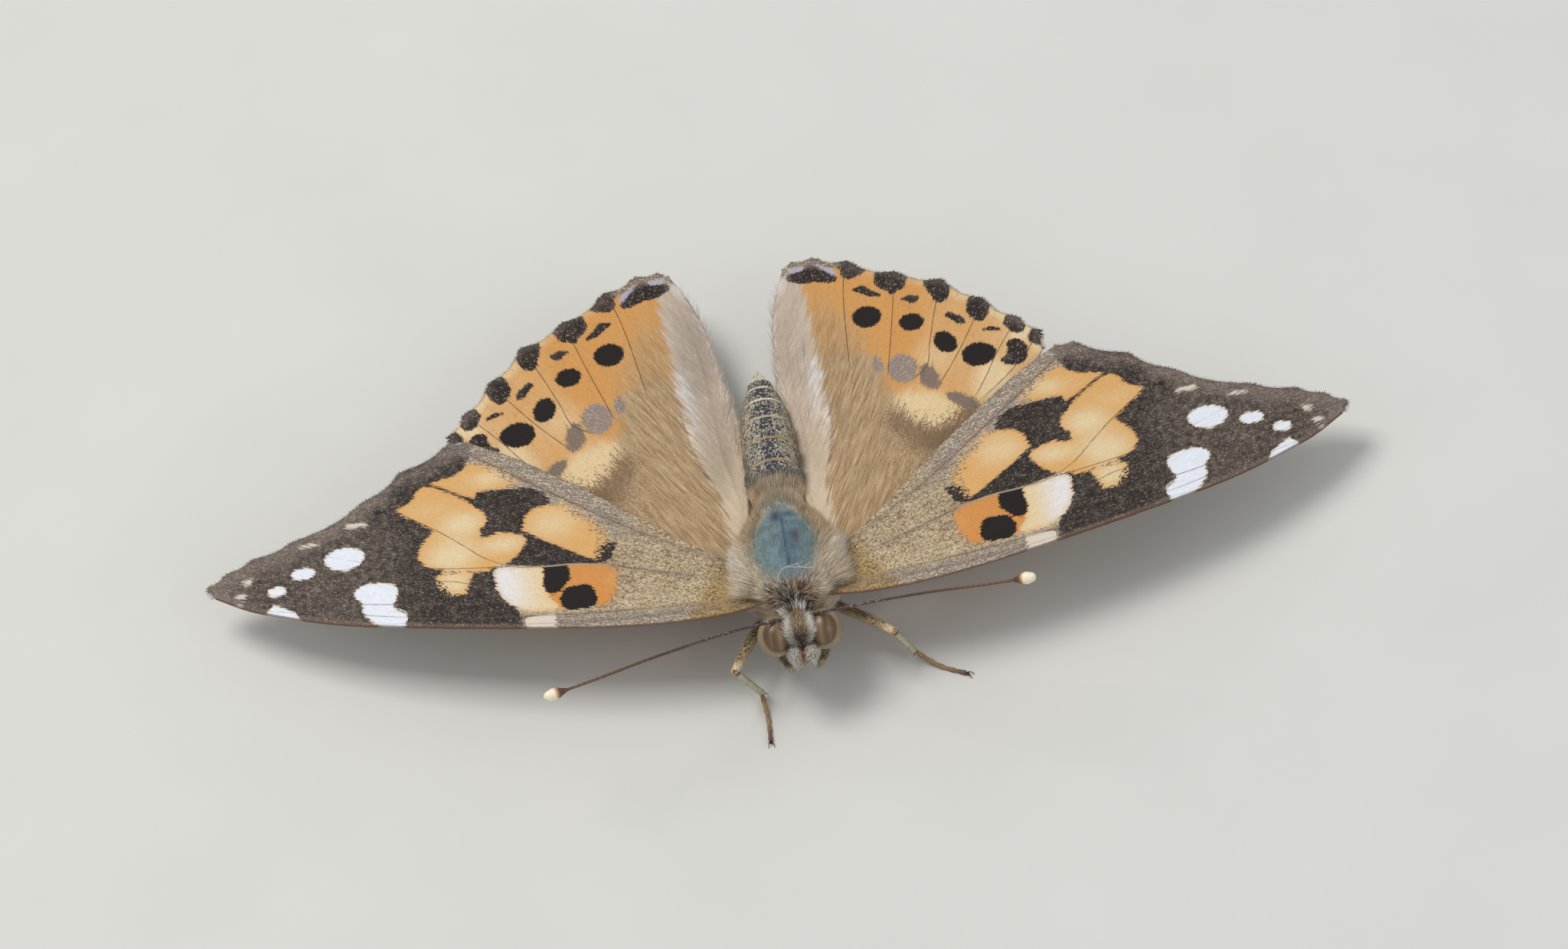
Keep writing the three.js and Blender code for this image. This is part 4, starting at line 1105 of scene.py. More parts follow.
def paint_hindwing():
    paint = WingPaint("hindwing_upper", 0.78)
    plan_x, plan_y = paint.plan_x, paint.plan_y
    speckle = paint.pick - 0.5
    pale = (paint["pale"] + paint.patch * 0.3).above(0.0, 1.1)
    cream = paint["cream"] + paint.ragged * 1.2 + paint.patch * 0.6
    rich = paint.layers(
        "warm",
        ("cream", pale),
        ("deep_orange", (paint.patch + paint.streak).above(0.0, 0.35) * 0.3),
        (paint.mix("orange", "cream", 0.8), cream.above(-0.7, 0.5)))
    brush = paint.fine * 1.5 + paint.streak
    rough = plan_x.above(5.5, 8.5) * plan_y.below(8, 11)
    tan = paint.mix("bark", "ochre", (brush + speckle * (0.15 + rough * 0.7)).above(-0.6, 0.75))
    brown = paint.scaled(paint.mix(tan, "warm", 0.18), 0.94)
    streak = (paint["streak"] + brush * 0.7).above(0.1, 0.9) * 0.7
    fan = (paint["fan"] + brush * (1.7 - rough * 0.9) + speckle * 0.3).above(-0.5, 0.6)
    umber = (paint["umber"] + brush * 0.9 + speckle * 0.8).above(0.4, 0.8)
    dusk = (paint["dusk"] + paint.ragged + speckle * 0.12).above(-0.12, 0.1)
    smoke = paint.layers(
        paint.mix("brown", "lilac", 0.15),
        ("stone", paint.fleck.above(0.8, 0.9) * 0.6),
        (paint.scaled("brown", 0.68), plan_x.above(9.0, 9.4) * 0.8))
    silk = (paint.fine * 1.6 + paint.streak + paint.patch).above(-0.45, 0.5)
    fold = paint.layers(
        paint.scaled("fold", 0.9),
        (paint.scaled("fold", 1.12), silk),
        (paint.mix("ochre", "fold", 0.4), plan_y.below(5, 10) * 0.7))
    fold = paint.scaled(fold, 1 - plan_y.above(10, 14) * 0.18)
    inward = (paint["inward"] + (brush + paint.patch) * 0.8).above(-0.15, 0.35)
    # Painted highlight on the fold, broken up by the streaks of its hair
    gleam = (paint["gleam"] + paint.fine * 1.2 + paint.streak + paint.patch).above(0.2, 1.35)
    pitch = paint.within("black", 0.6, 0.05)
    dark = paint.layers(
        "black",
        ("brown", paint.patch + paint["margin"].below(0.1, 0.6) * 0.3),
        ("stone", paint.fleck.above(0.9, 0.95) * 0.4))
    rim = paint.mix("brown", "ochre", (paint.pick + paint.patch * 2).above(0.55, 0.95) * 0.7)
    vein = (paint["vein"] + paint.mottle * 0.04).below(0.01, 0.042) * (0.85 - pitch * 0.6)
    outer = (plan_y + plan_x * 0.6).above(15.4, 16.6) * plan_x.above(4.5, 5.5)
    colour = paint.layers(
        rich,
        (brown, fan.largest(streak)),
        (paint.mix("bark", "black", 0.35), umber * 0.8),
        (smoke, dusk * 0.9),
        (fold, inward),
        ("white", gleam * 0.48),
        # Painted shade in the crease along the fold's edge
        ("mauve", paint["crease"].below(0.02, 0.1) * 0.6),
        (dark, pitch),
        (paint.scaled("black", 0.6), paint.within("spots", 0.6, 0.06)),
        (rim, paint["tornus"]),
        ("lilac", paint.within("lilac", 0.8, 0.06) * 0.9),
        ("hindwing vein", vein * outer))
    return paint.scaly(colour, 0.9, 0.12, 0.16)


def paint_forewing_below():
    """Rose and orange with the same black marks, running out into an olive, marbled tip."""
    paint = WingPaint("forewing_lower", 0.8)
    marble = paint.noise(paint.plan, 0.9, 4.0, 0.6)
    tip = (paint.plan_x + paint.patch * 2 + paint["margin"].below(0.2, 1.2) * 6).above(22.5, 24)
    dark = paint.scaled("black", 1.1)
    olive = paint.layers(
        "olive",
        (paint.scaled("olive", 0.6), marble.above(0.5, 0.56)),
        ("stone", (marble + paint.fine * 0.2).above(0.56, 0.62)))
    colour = paint.layers(
        "rose",
        ("orange", (paint.plan_x + paint.patch * 3).above(8, 15)),
        ("cream", paint["pale"] * 0.7),
        ("stone", paint["band"].largest(paint["costal"].below(0.5, 1.1)) * 0.8),
        (dark, paint.within("black", 0.9) * (1 - paint.within("orange"))),
        ("cream", paint.within("cream")),
        (dark, paint.within("spots")),
        (olive, tip),
        ("stone", paint["vein"].below(0.05, 0.12) * tip),
        ("white", paint.within("white", 0.8).largest(paint.within("faint", 1.2) * 0.8)),
        (paint.scaled("bark", 0.9), paint["vein"].below(0.03, 0.08) * (1 - tip) * 0.6))
    return paint.scaly(colour, 0.93, 0.1, 0.12)


def paint_hindwing_below():
    """Marbled olive brown and white, with pale veins and a row of eyespots."""
    paint = WingPaint("hindwing_lower", 0.8)
    marble = paint.noise(paint.plan, 0.5, 3.0, 0.55) + paint.fine * 0.1
    fine_marble = paint.noise(paint.plan, 1.3, 3.0, 0.6)
    reach = paint["reach"] + paint.patch * 4
    margin = paint["margin"]
    network = fine_marble.below(0.4, 0.45).largest(reach.above(9.2, 9.8) * reach.below(11.2, 11.8) * 0.9)
    pale = paint.mix("white", "stone", 0.35)
    outer = paint.mix("olive", "ochre", paint.patch + 0.5)
    vein = (paint["vein"] + (paint.tone - 0.5) * 0.03).below(0.07, 0.14)
    eyelet = paint["eyelet"] + paint.ragged * 0.25
    colour = paint.layers(
        "olive",
        (paint.scaled("olive", 0.55), marble.above(0.5, 0.54)),
        ("bark", fine_marble.above(0.52, 0.58) * 0.7),
        (pale, network * margin.above(1.2, 1.8)),
        (outer, reach.above(12.2, 13.4) * margin.above(1.1, 1.5) * 0.8),
        (pale, vein * 0.85),
        ("bark", eyelet.below(1.2, 1.3)),
        ("eyespot ring", eyelet.below(1.0, 1.08)),
        ("black", eyelet.below(0.68, 0.76)),
        ("eyespot middle", eyelet.below(0.3, 0.42)),
        (pale, margin.below(1.0, 1.15)),
        ("lilac", margin.below(0.72, 0.82)),
        (paint.mix("ochre", "olive", 0.5), margin.below(0.42, 0.5)),
        ("fold", paint["fold"] * 0.8))
    return paint.scaly(colour, 0.93, 0.1, 0.12)


# The coat: every hair is a thin three-sided blade that grows along the stored lie of its skin

HAIR_INPUTS = ("Density", "Length", "Width", "Lift", "Spread", "Droop")
BAKE_PATCH = 0.003


def coat_tree():
    grow = Grower("coat_of_hair")
    skin = Wire(grow, grow.entry.outputs["Geometry"])
    density, length, width, lift, spread, droop = [grow.input(name) for name in HAIR_INPUTS]
    seed = grow.input("Seed", "NodeSocketInt")
    segments = grow.input("Segments", "NodeSocketInt")
    material = grow.input("Material", "NodeSocketMaterial")

    blade = grow.wire("Mesh", "GeometryNodeMeshCone", {"fill_type": "NGON"},
                      {"Vertices": 3, "Side Segments": segments, "Radius Top": 0.0, "Radius Bottom": 0.5,
                       "Depth": 1.0})
    place = grow.wire(0, "GeometryNodeInputPosition")
    x, y, z = grow.parts(place)
    blade = grow.store(blade, "tip", z)
    blade = grow.store(blade, "leaf", grow.combined(x * 0.9, z * 0.9 - 0.45, 0.0), "FLOAT_VECTOR")
    fuller = (1.02 - z) ** -0.45
    blade = grow.placed(blade, Position=grow.combined(x * fuller, y * fuller, z))

    roots = grow.wire("Points", "GeometryNodeDistributePointsOnFaces", {"distribute_method": "RANDOM"},
                      {"Mesh": skin, "Density": density * grow.named("thick"), "Seed": seed})
    points = grow.store(roots, "shade", grow.random(0.0, 1.0, seed + 1))
    reach = length * grow.named("long") * grow.random(0.65, 1.2, seed + 2)
    points = grow.store(points, "reach", reach)
    up = grow.named("up", "FLOAT_VECTOR")
    stray = grow.wire("Value", "FunctionNodeRandomValue", {"data_type": "FLOAT_VECTOR"},
                      {"Min": (-1.0, -1.0, -1.0), "Max": (1.0, 1.0, 1.0), "Seed": seed + 3})
    locks = grow.wire("Color", "ShaderNodeTexNoise", {}, {"Vector": place, "Scale": 1.6 / MM, "Detail": 1.0})
    locks = grow.vector("SUBTRACT", locks, (0.5, 0.5, 0.5))
    stray = grow.vector("ADD", stray, grow.scaled(locks, 3.0))
    stray = grow.scaled(stray, spread)
    raised = grow.vector("ADD", grow.named("lie", "FLOAT_VECTOR"), grow.scaled(up, lift))
    along = grow.vector("ADD", raised, stray)
    turn = grow.wire(0, "FunctionNodeAxesToRotation", {"primary_axis": "Z", "secondary_axis": "Y"},
                     {"Primary Axis": along, "Secondary Axis": up})
    thick = width * grow.random(0.7, 1.3, seed + 4)
    sunk = grow.placed(points, Offset=grow.scaled(up, -0.04 * MM))
    hairs = grow.wire(0, "GeometryNodeInstanceOnPoints", {},
                      {"Points": sunk, "Instance": blade, "Rotation": turn,
                       "Scale": grow.combined(thick, thick * 0.5, grow.named("reach"))})
    mesh = grow.wire(0, "GeometryNodeRealizeInstances", {}, {0: hairs})
    tip = grow.named("tip")
    fall = grow.scaled(up, tip * tip * grow.named("reach") * droop * -1.0)
    mesh = grow.placed(mesh, Offset=fall)
    patch = grow.vector("ADD", grow.named("place", "FLOAT_VECTOR"),
                        grow.scaled(grow.named("leaf", "FLOAT_VECTOR"), BAKE_PATCH))
    mesh = grow.store(mesh, "OFBake", patch, "FLOAT2", "CORNER")
    mesh = grow.wire(0, "GeometryNodeSetMaterial", {}, {"Geometry": mesh, "Material": material})
    grow.feed(grow.exit.inputs[0], mesh)
    return grow.tree


def grow_coat(name, roots, material, slot, seed, density, **amounts):
    """Grows hair on a mesh that holds thick, long, lie, up, place, coat and fleck on its points."""
    tree = bpy.data.node_groups.get("coat_of_hair") or coat_tree()
    bed = add_object(name + "_bed", roots)
    modifier = bed.modifiers.new("coat", "NODES")
    modifier.node_group = tree
    settings = {"Seed": seed, "Segments": 2, "Material": material,
                "Density": density * 1}
    settings.update({key.title(): value for key, value in amounts.items()})
    for item in tree.interface.items_tree:
        if item.in_out == "INPUT" and item.name in settings:
            modifier[item.identifier] = settings[item.name]
    graph = bpy.context.evaluated_depsgraph_get()
    mesh = bpy.data.meshes.new_from_object(bed.evaluated_get(graph), depsgraph=graph)
    bpy.data.objects.remove(bed)
    mesh.name = name
    for spare in ("thick", "long", "lie", "up", "place", "leaf", "reach"):
        if spare in mesh.attributes:
            mesh.attributes.remove(mesh.attributes[spare])
    mesh.shade_smooth()
    show(name, mesh, (), slot)


def hair_bed(mesh, places, **values):
    """A copy of a skin's mesh, with how its hair grows on its points."""
    bed = mesh.copy()
    bed.materials.clear()
    for key, data in {"place": columns(*places.T, 0), **values}.items():
        put_values(bed, key, data)
    return bed


def paint_hair(name, light, root=0.7):
    """Hair in the colour stored on its root, with painted shade towards the root, a little painted light at
    the tip, and some light hairs among it.
    """
    paint = Paint(name, roughness=0.65, Specular_IOR_Level=0.3, Sheen_Weight=0.1, Sheen_Roughness=0.4)
    shade = paint["shade"]
    colour = paint.mix(paint.attribute("coat", "Color"), light, (paint["fleck"] - shade).above(-0.02, 0.02))
    # Painted shade towards the root and painted light at the tip, times a random tone per hair
    return paint.finish(paint.scaled(colour, (root + (1.1 - root) * paint["tip"]) * (0.8 + 0.4 * shade)))


def blend(low, high, factor):
    """Mixes colours or directions point by point."""
    factor = np.asarray(factor)[..., None]
    return np.array(named_colour(low)) * (1 - factor) + np.array(named_colour(high)) * factor


def layered(colour, *covers):
    """A colour with others laid over it point by point, each with how much of it covers."""
    for cover, amount in covers:
        colour = blend(colour, cover, amount)
    return colour


def with_alpha(values):
    return columns(*values.T, 1)


# Body

THORAX = [(-4, 0.3, 5.0, 4.2), (-3.75, 1.25, 5.85, 3.3), (-3.1, 1.9, 6.65, 2.6), (-2, 2.45, 7.15, 2.1),
    (-0.8, 2.75, 7.35, 1.85), (0.6, 2.75, 7.25, 1.8), (1.9, 2.4, 6.9, 2.1), (3, 1.8, 6.3, 2.8),
    (3.7, 1.3, 5.9, 3.4), (4, 0.3, 5.2, 4.4)]
ABDOMEN = {"front": 3.1, "rear": 14.6, "front height": 4.95, "rear height": 3.15}
RINGS = (3.1, 4.6, 6.6, 8.5, 10.3, 11.9, 13.15, 14.05, 14.9)
LUMPS = {
    "head": ((0, -4.75, 4.75), (0.85, 1.15, 1.3)),
    "brow": ((0, -5.35, 5.2), (0.78, 0.5, 0.62)),
    "mouth": ((0, -5.3, 4.1), (0.5, 0.45, 0.5)),
    "nape": ((0, -3.9, 4.6), (1.15, 0.75, 1.2)),
    "left shoulder": ((2.05, -1.3, 6.05), (0.75, 1.75, 0.62)),
    "right shoulder": ((-2.05, -1.3, 6.05), (0.75, 1.75, 0.62)),
    "left collar": ((0.85, -3.2, 6.2), (0.8, 0.5, 0.42)),
    "right collar": ((-0.85, -3.2, 6.2), (0.8, 0.5, 0.42)),
    "scutellum": ((0, 2.3, 6.75), (1.15, 0.8, 0.42)),
}
SKIN_DEPTH = 0.16
SKIN_BLEND = 0.15
FAR = 9.0
BACKWARD = (0.0, 1.0, 0.0)
BODY_AXIS = [(-5.8, 5.0), (-5.4, 4.85), (-4.85, 4.7), (-3.7, 4.6), (0, 4.6), (3.2, 4.6), (3.9, 4.7)]
BODY_ENDS = (-5.76, 14.8)
BACK_PATCH = (-0.1, -0.35, 1.85, 2.75)
WHORL = (0, -5.74, 4.95)
WING_ROOT = (1.95, -2.95, 5.3)
NAPE_TUFTS = ((-0.8, -3.55), (0.1, -3.4), (0.7, -3.6))


def abdomen_radius(t):
    waist = 1.2 + 0.4 * ramp(t, 0, 0.28)
    return waist * np.sqrt(np.maximum(1 - 0.92 * ramp(t, 0.45, 1.06) ** 1.6, 0.0))


def abdomen_at(y):
    """Radius and middle height of the abdomen, with the step at the rear of each segment."""
    t = (y - ABDOMEN["front"]) / (ABDOMEN["rear"] - ABDOMEN["front"])
    inside = np.clip(t, 0, 1)
    within = np.interp(y, RINGS, np.arange(len(RINGS))) % 1
    flare = 0.945 + 0.06 * ramp(within, 0.05, 0.85) - 0.05 * ramp(within, 0.9, 1.0)
    end = np.sqrt(np.clip((1.035 - t) / 0.08, 0, 1))
    middle = (ABDOMEN["front height"] * (1 - inside) + ABDOMEN["rear height"] * inside
              - 0.25 * np.sin(np.pi * inside))
    return abdomen_radius(inside) * flare * end, middle


def body_gap(points):
    """Rough distance to the body's skin, negative inside, with its parts run into each other."""
    x, y, z = points.T
    stations = np.array(THORAX)
    path = smooth_path(stations, 120)
    half, top, bottom = (np.interp(y, path[:, 0], path[:, k]) for k in (1, 2, 3))
    out = (y < stations[0, 0]) | (y > stations[-1, 0])
    height = (top - bottom) / 2
    reach = np.hypot(x / half, (z - (top + bottom) / 2) / height)
    gaps = [np.where(out, FAR, (reach - 1) * np.minimum(half, height) + SKIN_DEPTH)]
    radius, middle = abdomen_at(y)
    ring = np.hypot(x, z - middle) - radius + 0.4 * SKIN_DEPTH
    gaps.append(np.where(y < ABDOMEN["front"], FAR, ring))
    for centre, radii in LUMPS.values():
        size = np.array(radii) - SKIN_DEPTH * 0.6
        gaps.append((np.linalg.norm((points - centre) / size, axis=1) - 1) * size.min())
    return -SKIN_BLEND * np.log(np.sum(np.exp(-np.array(gaps) / SKIN_BLEND), axis=0))


def body_axis(y):
    low = np.interp(y, *np.array(BODY_AXIS).T)
    return low + (abdomen_at(y)[1] - low) * ramp(y, 3.3, 4.6)


def body_skin(rings, around):
    """The body's skin as rings along Y, found outwards from its axis, and each point's turn."""
    y = np.linspace(*BODY_ENDS, rings)
    angle = np.linspace(0, 2 * np.pi, around + 1)
    yy, aa = (grid.ravel() for grid in np.meshgrid(y, angle, indexing="ij"))
    axis = body_axis(yy)
    low = np.zeros(len(yy))
    high = np.full(len(yy), 4.0)

    def at(radius):
        return columns(radius * np.cos(aa), yy, axis + radius * np.sin(aa))

    for _ in range(16):
        trial = (low + high) / 2
        inside = body_gap(at(trial)) < 0
        low = np.where(inside, trial, low)
        high = np.where(inside, high, trial)
    points = at((low + high) / 2).reshape(rings, around + 1, 3)
    points[:, -1] = points[:, 0]
    return points, aa


def back_patch(points):
    """1 on the short-haired middle of the back, 0 in the long hair around it."""
    x, y, half_x, half_y = BACK_PATCH
    reach = np.hypot((points[:, 0] - x) / half_x, (points[:, 1] - y) / half_y)
    return fade(reach, 0.8, 1.1) * ramp(points[:, 2], 5.6, 6.3)


def flank(top, y, strength):
    """How much longer or denser the hair is on the flanks of the abdomen's front."""
    return strength * fade(top, 0.3, 0.6) * fade(y, 6, 9.5)


def coat_colours(points, angle):
    """The colour of the coat at each place on the body."""
    x, y, z = points.T
    top = np.sin(angle)
    flat = points[:, :2]
    mirrored = columns(np.abs(x), y, z)
    centre_line = np.exp(-((x - 0.03) / 0.06) ** 2) * fade(y, 1.2, 1.7) * ramp(y, -2.6, -2.0)
    back = layered(
        "slate",
        ("back blue", 0.8 * bump_at(flat, (0.15, -0.6), (0.42, 1.9))),
        ("back edge", ramp(np.hypot(x / 1.9, (y + 0.4) / 2.8), 0.6, 0.95) * 0.6),
        ("back spot", bump_at(flat, (-0.32, 1.5), (0.3, 0.4))),
        ("back bar", bump_at(flat, (0.4, 1.6), (0.5, 0.16)) * 0.7),
        ("back line", centre_line * 0.85),
        ("back violet", 0.9 * bump_at(flat, (0.62, -0.2), (0.24, 0.6))),
        ("back front", bump_at(flat, (0.5, -2.7), (0.8, 0.5))))
    reach = np.linalg.norm((points - WHORL) / (1, 1, 1.25), axis=1)
    # The brow: dark in its middle, with its tan around it darkened as painted shade
    brow = layered(
        np.array(named_colour("fur_brown")) * 0.6,
        ("brow rim", ramp(reach, 0.35, 0.8)),
        ("fur_white", ramp(np.abs(x), 0.25, 0.5) * ramp(-y, 4.3, 4.9)),
        ("face spot", bump_at(mirrored, (0.42, -5.6, 4.7), (0.16, 0.3, 0.25))),
        ("fur_brown", bump_at(points, (0, -4.2, 6.0), (0.9, 0.45, 0.8)) * 0.8),
        ("fur_white", ramp(-z, -4.4, -4.0)))
    rear = layered(
        "abdomen",
        # Painted sheen: a bluish sheen along the middle of the abdomen's front
        ("abdomen blue", bump_at(flat, (0, 6.4), (0.6, 1.2)) * 0.8),
        ("abdomen side", ramp(np.abs(x), 0.4, 1.3) * 0.45),
        (ring_colour(y), ramp(-ring_gap(y), -0.16, -0.06) * 0.85),
        ("abdomen tip", ramp(y, 13.9, 14.1)),
        ("belly", ramp(-top, 0.1, 0.5)))
    return layered(
        "fur_tan",
        ("fur_grey", ramp(-y, 0.2, 2.6)),
        ("collar", bump_at(flat, (0, -3.1), (0.9, 0.6))),
        ("shoulder tuft", bump_at(mirrored, (2.6, -1.1, 6.2), (0.7, 0.9, 1.0))),
        ("fur_white", ramp(-top, -0.1, 0.6)),
        ("rump", ramp(y, 1.5, 3.0) * ramp(top, 0.2, 0.8) * 0.6),
        (back, back_patch(points)),
        (brow, ramp(-y, 3.9, 4.3)),
        (rear, ramp(y, 4.3, 5.2)))


def ring_gap(y):
    """Distance along Y to the nearest rear edge of a segment of the abdomen."""
    return np.abs(y[:, None] - np.array(RINGS[2:-1])).min(axis=1)


def ring_colour(y):
    """The pale scales at the rear of a segment: tan in front, cream white near the tip."""
    return blend("front ring", "rear ring", ramp(y, 9.5, 11.5))


def body_roots(points, angle):
    """How the coat grows at each place on the body: its lie, length, light hairs and colour."""
    x, y, z = points.T
    top = np.sin(angle)
    patch = back_patch(points)
    outward = unit(columns(x - BACK_PATCH[0], y - BACK_PATCH[1], 0)) * 0.8 + BACKWARD
    root = bump_at(columns(np.abs(x), y, z), WING_ROOT, (0.7, 0.5, 0.9))
    lie = layered(
        BACKWARD,
        (outward, ramp(top, -0.2, 0.5)),
        (BACKWARD, patch),
        (unit(points - WHORL), ramp(-y, 4.0, 4.4)),
        (BACKWARD, ramp(y, 3.2, 4.2)),
        (columns(np.sign(x), -0.1, 0), root))
    front = ramp(-y, 4.6, 5)
    long = (1 + 0.4 * root) * (1 - 0.6 * patch)
    long = long * (1 + 0.25 * ramp(np.abs(x), 1.4, 2.3) * ramp(-y, -1.5, 0.5))
    long = long * (1 - 0.7 * ramp(-y, 3.9, 4.5)) * (1 + 0.9 * ramp(np.abs(x), 0.35, 0.6) * front)
    long = long * (1 - 0.5 * ramp(WHORL[2] - z, 0.0, 0.35) * front)
    long = long * (1 - (0.86 - flank(top, y, 0.35)) * ramp(y, 4.2, 6.0))
    long = np.where(y > 14.1, 0.3, long)
    sides = ramp(np.abs(x), 0.15, 0.6)
    fleck = np.where(y > 4.4, (0.2 + 0.3 * sides) * (0.7 + 0.3 * ramp(y, 5.5, 8)), 0.18 * patch)
    fleck = np.where(y < -4.6, 0.15, fleck)
    return {"lie": unit(lie), "long": long, "fleck": fleck,
            "coat": with_alpha(coat_colours(points, angle))}


def grid_normals(points):
    """Normals of a grid of rings, facing away from the rings' middle."""
    along = np.gradient(points, axis=0)
    across = np.roll(points[:, :-1], -1, axis=1) - np.roll(points[:, :-1], 1, axis=1)
    across = np.concatenate([across, across[:, :1]], axis=1)
    return unit(np.cross(along, across))


def grid_faces(rings, across):
    """Quads of a grid of rings whose first and last columns don't join."""
    starts = [i * across + j for i in range(rings - 1) for j in range(across - 1)]
    return [(a, a + across, a + across + 1, a + 1) for a in starts]


def make_body(sizes):
    """The one skin of head, thorax and abdomen, and the coat that grows on it."""
    rings, around = ((260, 120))
    points, angles = body_skin(rings, around)
    across = around + 1
    count = rings * across
    ends = [points[0, :-1].mean(axis=0) - (0, 0.05, 0), points[-1, :-1].mean(axis=0) + (0, 0.05, 0)]
    vertices = np.vstack([points.reshape(-1, 3), ends])
    angles = np.append(angles, [0, 0])
    last = count - across
    faces = grid_faces(rings, across)
    faces += [(count, j, j + 1) for j in range(around)]
    faces += [(count + 1, last + j + 1, last + j) for j in range(around)]
    places = columns(np.tile(np.linspace(0.02, 0.98, across), rings),
                     np.repeat(np.linspace(0.03, 0.97, rings), across))
    places = np.vstack([places, (0.5, 0.01), (0.5, 0.99)])
    y = vertices[:, 1]
    top = np.sin(angles)
    patch = back_patch(vertices)
    values = body_roots(vertices, angles)
    up = np.vstack([grid_normals(points).reshape(-1, 3), (0, -1, 0), (0, 1, 0)])
    steep = (values["lie"] * up).sum(axis=1)[:, None]
    values["lie"] = unit(values["lie"] - up * steep * 0.95)
    values["up"] = up
    values["rear"] = ramp(y, 3.8, 5.0)
    values["ring"] = ring_gap(y)
    values["pale"] = with_alpha(ring_colour(y))
    # Painted shade: the skin under the long hair of head and thorax is darkened, as the shadow between the
    # hairs
    values["shaded"] = (1 - values["rear"]) * (1 - patch)
    mesh = make_mesh("body_skin", vertices, faces, values)
    put_map(mesh, places)
    show("body_skin", mesh, (paint_skin(),), "fur", "head", "thorax", "abdomen")

    hair = paint_hair("body_hair", "fur_white", 0.88)
    back = paint_hair("back_hair", "back fleck", 0.9)
    scales = paint_hair("abdomen_scales", "abdomen fleck", 0.9)
    fine = sizes.hair_width * 0.55

    def grow(name, material, slot, seed, density, width, lift, spread, droop, **growth):
        grow_coat(name, hair_bed(mesh, places, **growth), material, slot, seed, density,
                  length=sizes.coat_length, width=width, lift=lift, spread=spread, droop=droop)

    thorax = ramp(y, -4.0, -3.7) * np.maximum(fade(y, 4.2, 5.4), flank(top, y, 0.3))
    upper = ramp(top, -0.25, -0.15)
    behind = ramp(y, -0.05, 0.05)
    nape = nape_area(vertices)
    for part, half in (("front", 1 - behind), ("rear", behind)):
        share = half * (1 - patch) * (1 - nape * 0.8)
        grow(f"thorax_coat_{part}", hair, "fur", 11, 380e6, fine, 0.3, 0.2, 0.2, thick=thorax * upper * share)
    grow("thorax_coat_lower", hair, "fur", 23, 230e6, fine, 0.25, 0.24, 0.12, thick=thorax * (1 - upper))
    grow("back_scales", back, "fur", 31, 520e6, fine, 0.2, 0.1, 0.2, thick=thorax * patch)
    grow("head_coat", hair, "fur", 47, 620e6, fine * 1.1, 0.6, 0.22, 0.05, thick=fade(y, -4.3, -4.0))
    grow("nape_tufts", hair, "fur", 53, 300e6, fine * 1.7, 0.9, 0.35, 0.0, thick=ramp(top, 0.7, 0.8) * nape,
         coat=with_alpha(tuft_colours(vertices)), long=np.full(len(y), 0.6),
         fleck=np.full(len(y), 0.3))
    grow("abdomen_coat", scales, "abdomen_scales", 59, 190e6, sizes.hair_width * 1.2, 0.35, 0.2, 0.2,
         thick=ramp(y, 4.0, 4.6))


LONG_HAIRS = {
    "long": [(-0.78, -3.08, 6.7), (-0.56, -2.69, 7.3), (-0.23, -2.63, 7.6), (0.42, -2.55, 7.65),
        (0.85, -2.34, 7.55)],
    "branch": [(-0.1, -2.63, 7.62), (0.4, -2.65, 7.5), (0.85, -2.6, 7.4), (1.15, -2.35, 7.4)],
    "curl": [(0.42, -2.55, 7.65), (0.7, -2.69, 7.45), (1.29, -2.62, 7.27), (1.42, -2.4, 7.35)],
}


def make_long_hairs():
    """A few single hairs that curl over the front of the back."""
    paint = Paint("long_hairs", roughness=0.5)
    material = paint.finish(paint.mix("long hair", "fur_white", paint["along"]))
    parts = [limb(smooth_path(path, 24), np.linspace(0.02, 0.008, 25), 6) for path in LONG_HAIRS.values()]
    vertices, faces, values = joined(parts)
    mesh = make_mesh("long_hairs", vertices, faces, {"along": values["along"]})
    show("long_hairs", mesh, (material,), "fur")


def nape_area(points):
    x, y, _ = points.T
    return fade(np.abs(x + 0.1), 1.0, 1.25) * ramp(y, -4.6, -4.4) * fade(y, -3.3, -3.0)


def tuft_colours(points):
    """Dark brown, orange brown and white tufts at the nape."""
    x, y, _ = points.T
    tufts = [("nape tuft", bump_at(points[:, :2], place, (0.22, 0.22))) for place in NAPE_TUFTS]
    return layered(
        "nape",
        *tufts,
        ("fur_tan", ramp(x, 0.7, 0.95) * 0.7),
        ("fur_white", ramp(-y, 3.95, 4.1) * ramp(np.sin(x * 8), -0.3, 0.3)))


def paint_skin():
    paint = Paint("body_skin", roughness=0.7)
    first, second, _, bulge = paint.cells(paint.place(), (11000, 9000, 11000), 0.9, "3D")
    rear, fleck = paint["rear"], paint["fleck"]
    speckle = (first + fleck).above(0.63, 0.77) * bulge.below(0.36, 0.52)
    speckle = speckle.largest((second + fleck).above(1.1, 1.16) * 0.8) * rear
    ring = (paint["ring"] + (first - 0.5) * 0.12).below(0.07, 0.12) * rear
    colour = paint.layers(
        paint.attribute("coat", "Color"),
        ("abdomen scale", speckle),
        (paint.attribute("pale", "Color"), ring))
    # Painted shade darkens the skin under the long hair, as the shadow between its hairs
    shade = (second * 0.3 + 0.7) * (1 - paint["shaded"] * 0.3)
    return paint.finish(paint.scaled(colour, shade), bulge, strength=0.4)


# Eyes. The dark spots are weights, middles and half sizes on the side that faces the viewer

EYE_SPOTS = [
    (1, (-0.36, 0.5), (0.16, 0.18)),
    (0.6, (-0.42, 0.2), (0.13, 0.16)),
    (0.45, (0.08, 0.35), (0.06, 0.28)),
    (0.4, (-0.55, 0), (0.1, 0.6)),
]


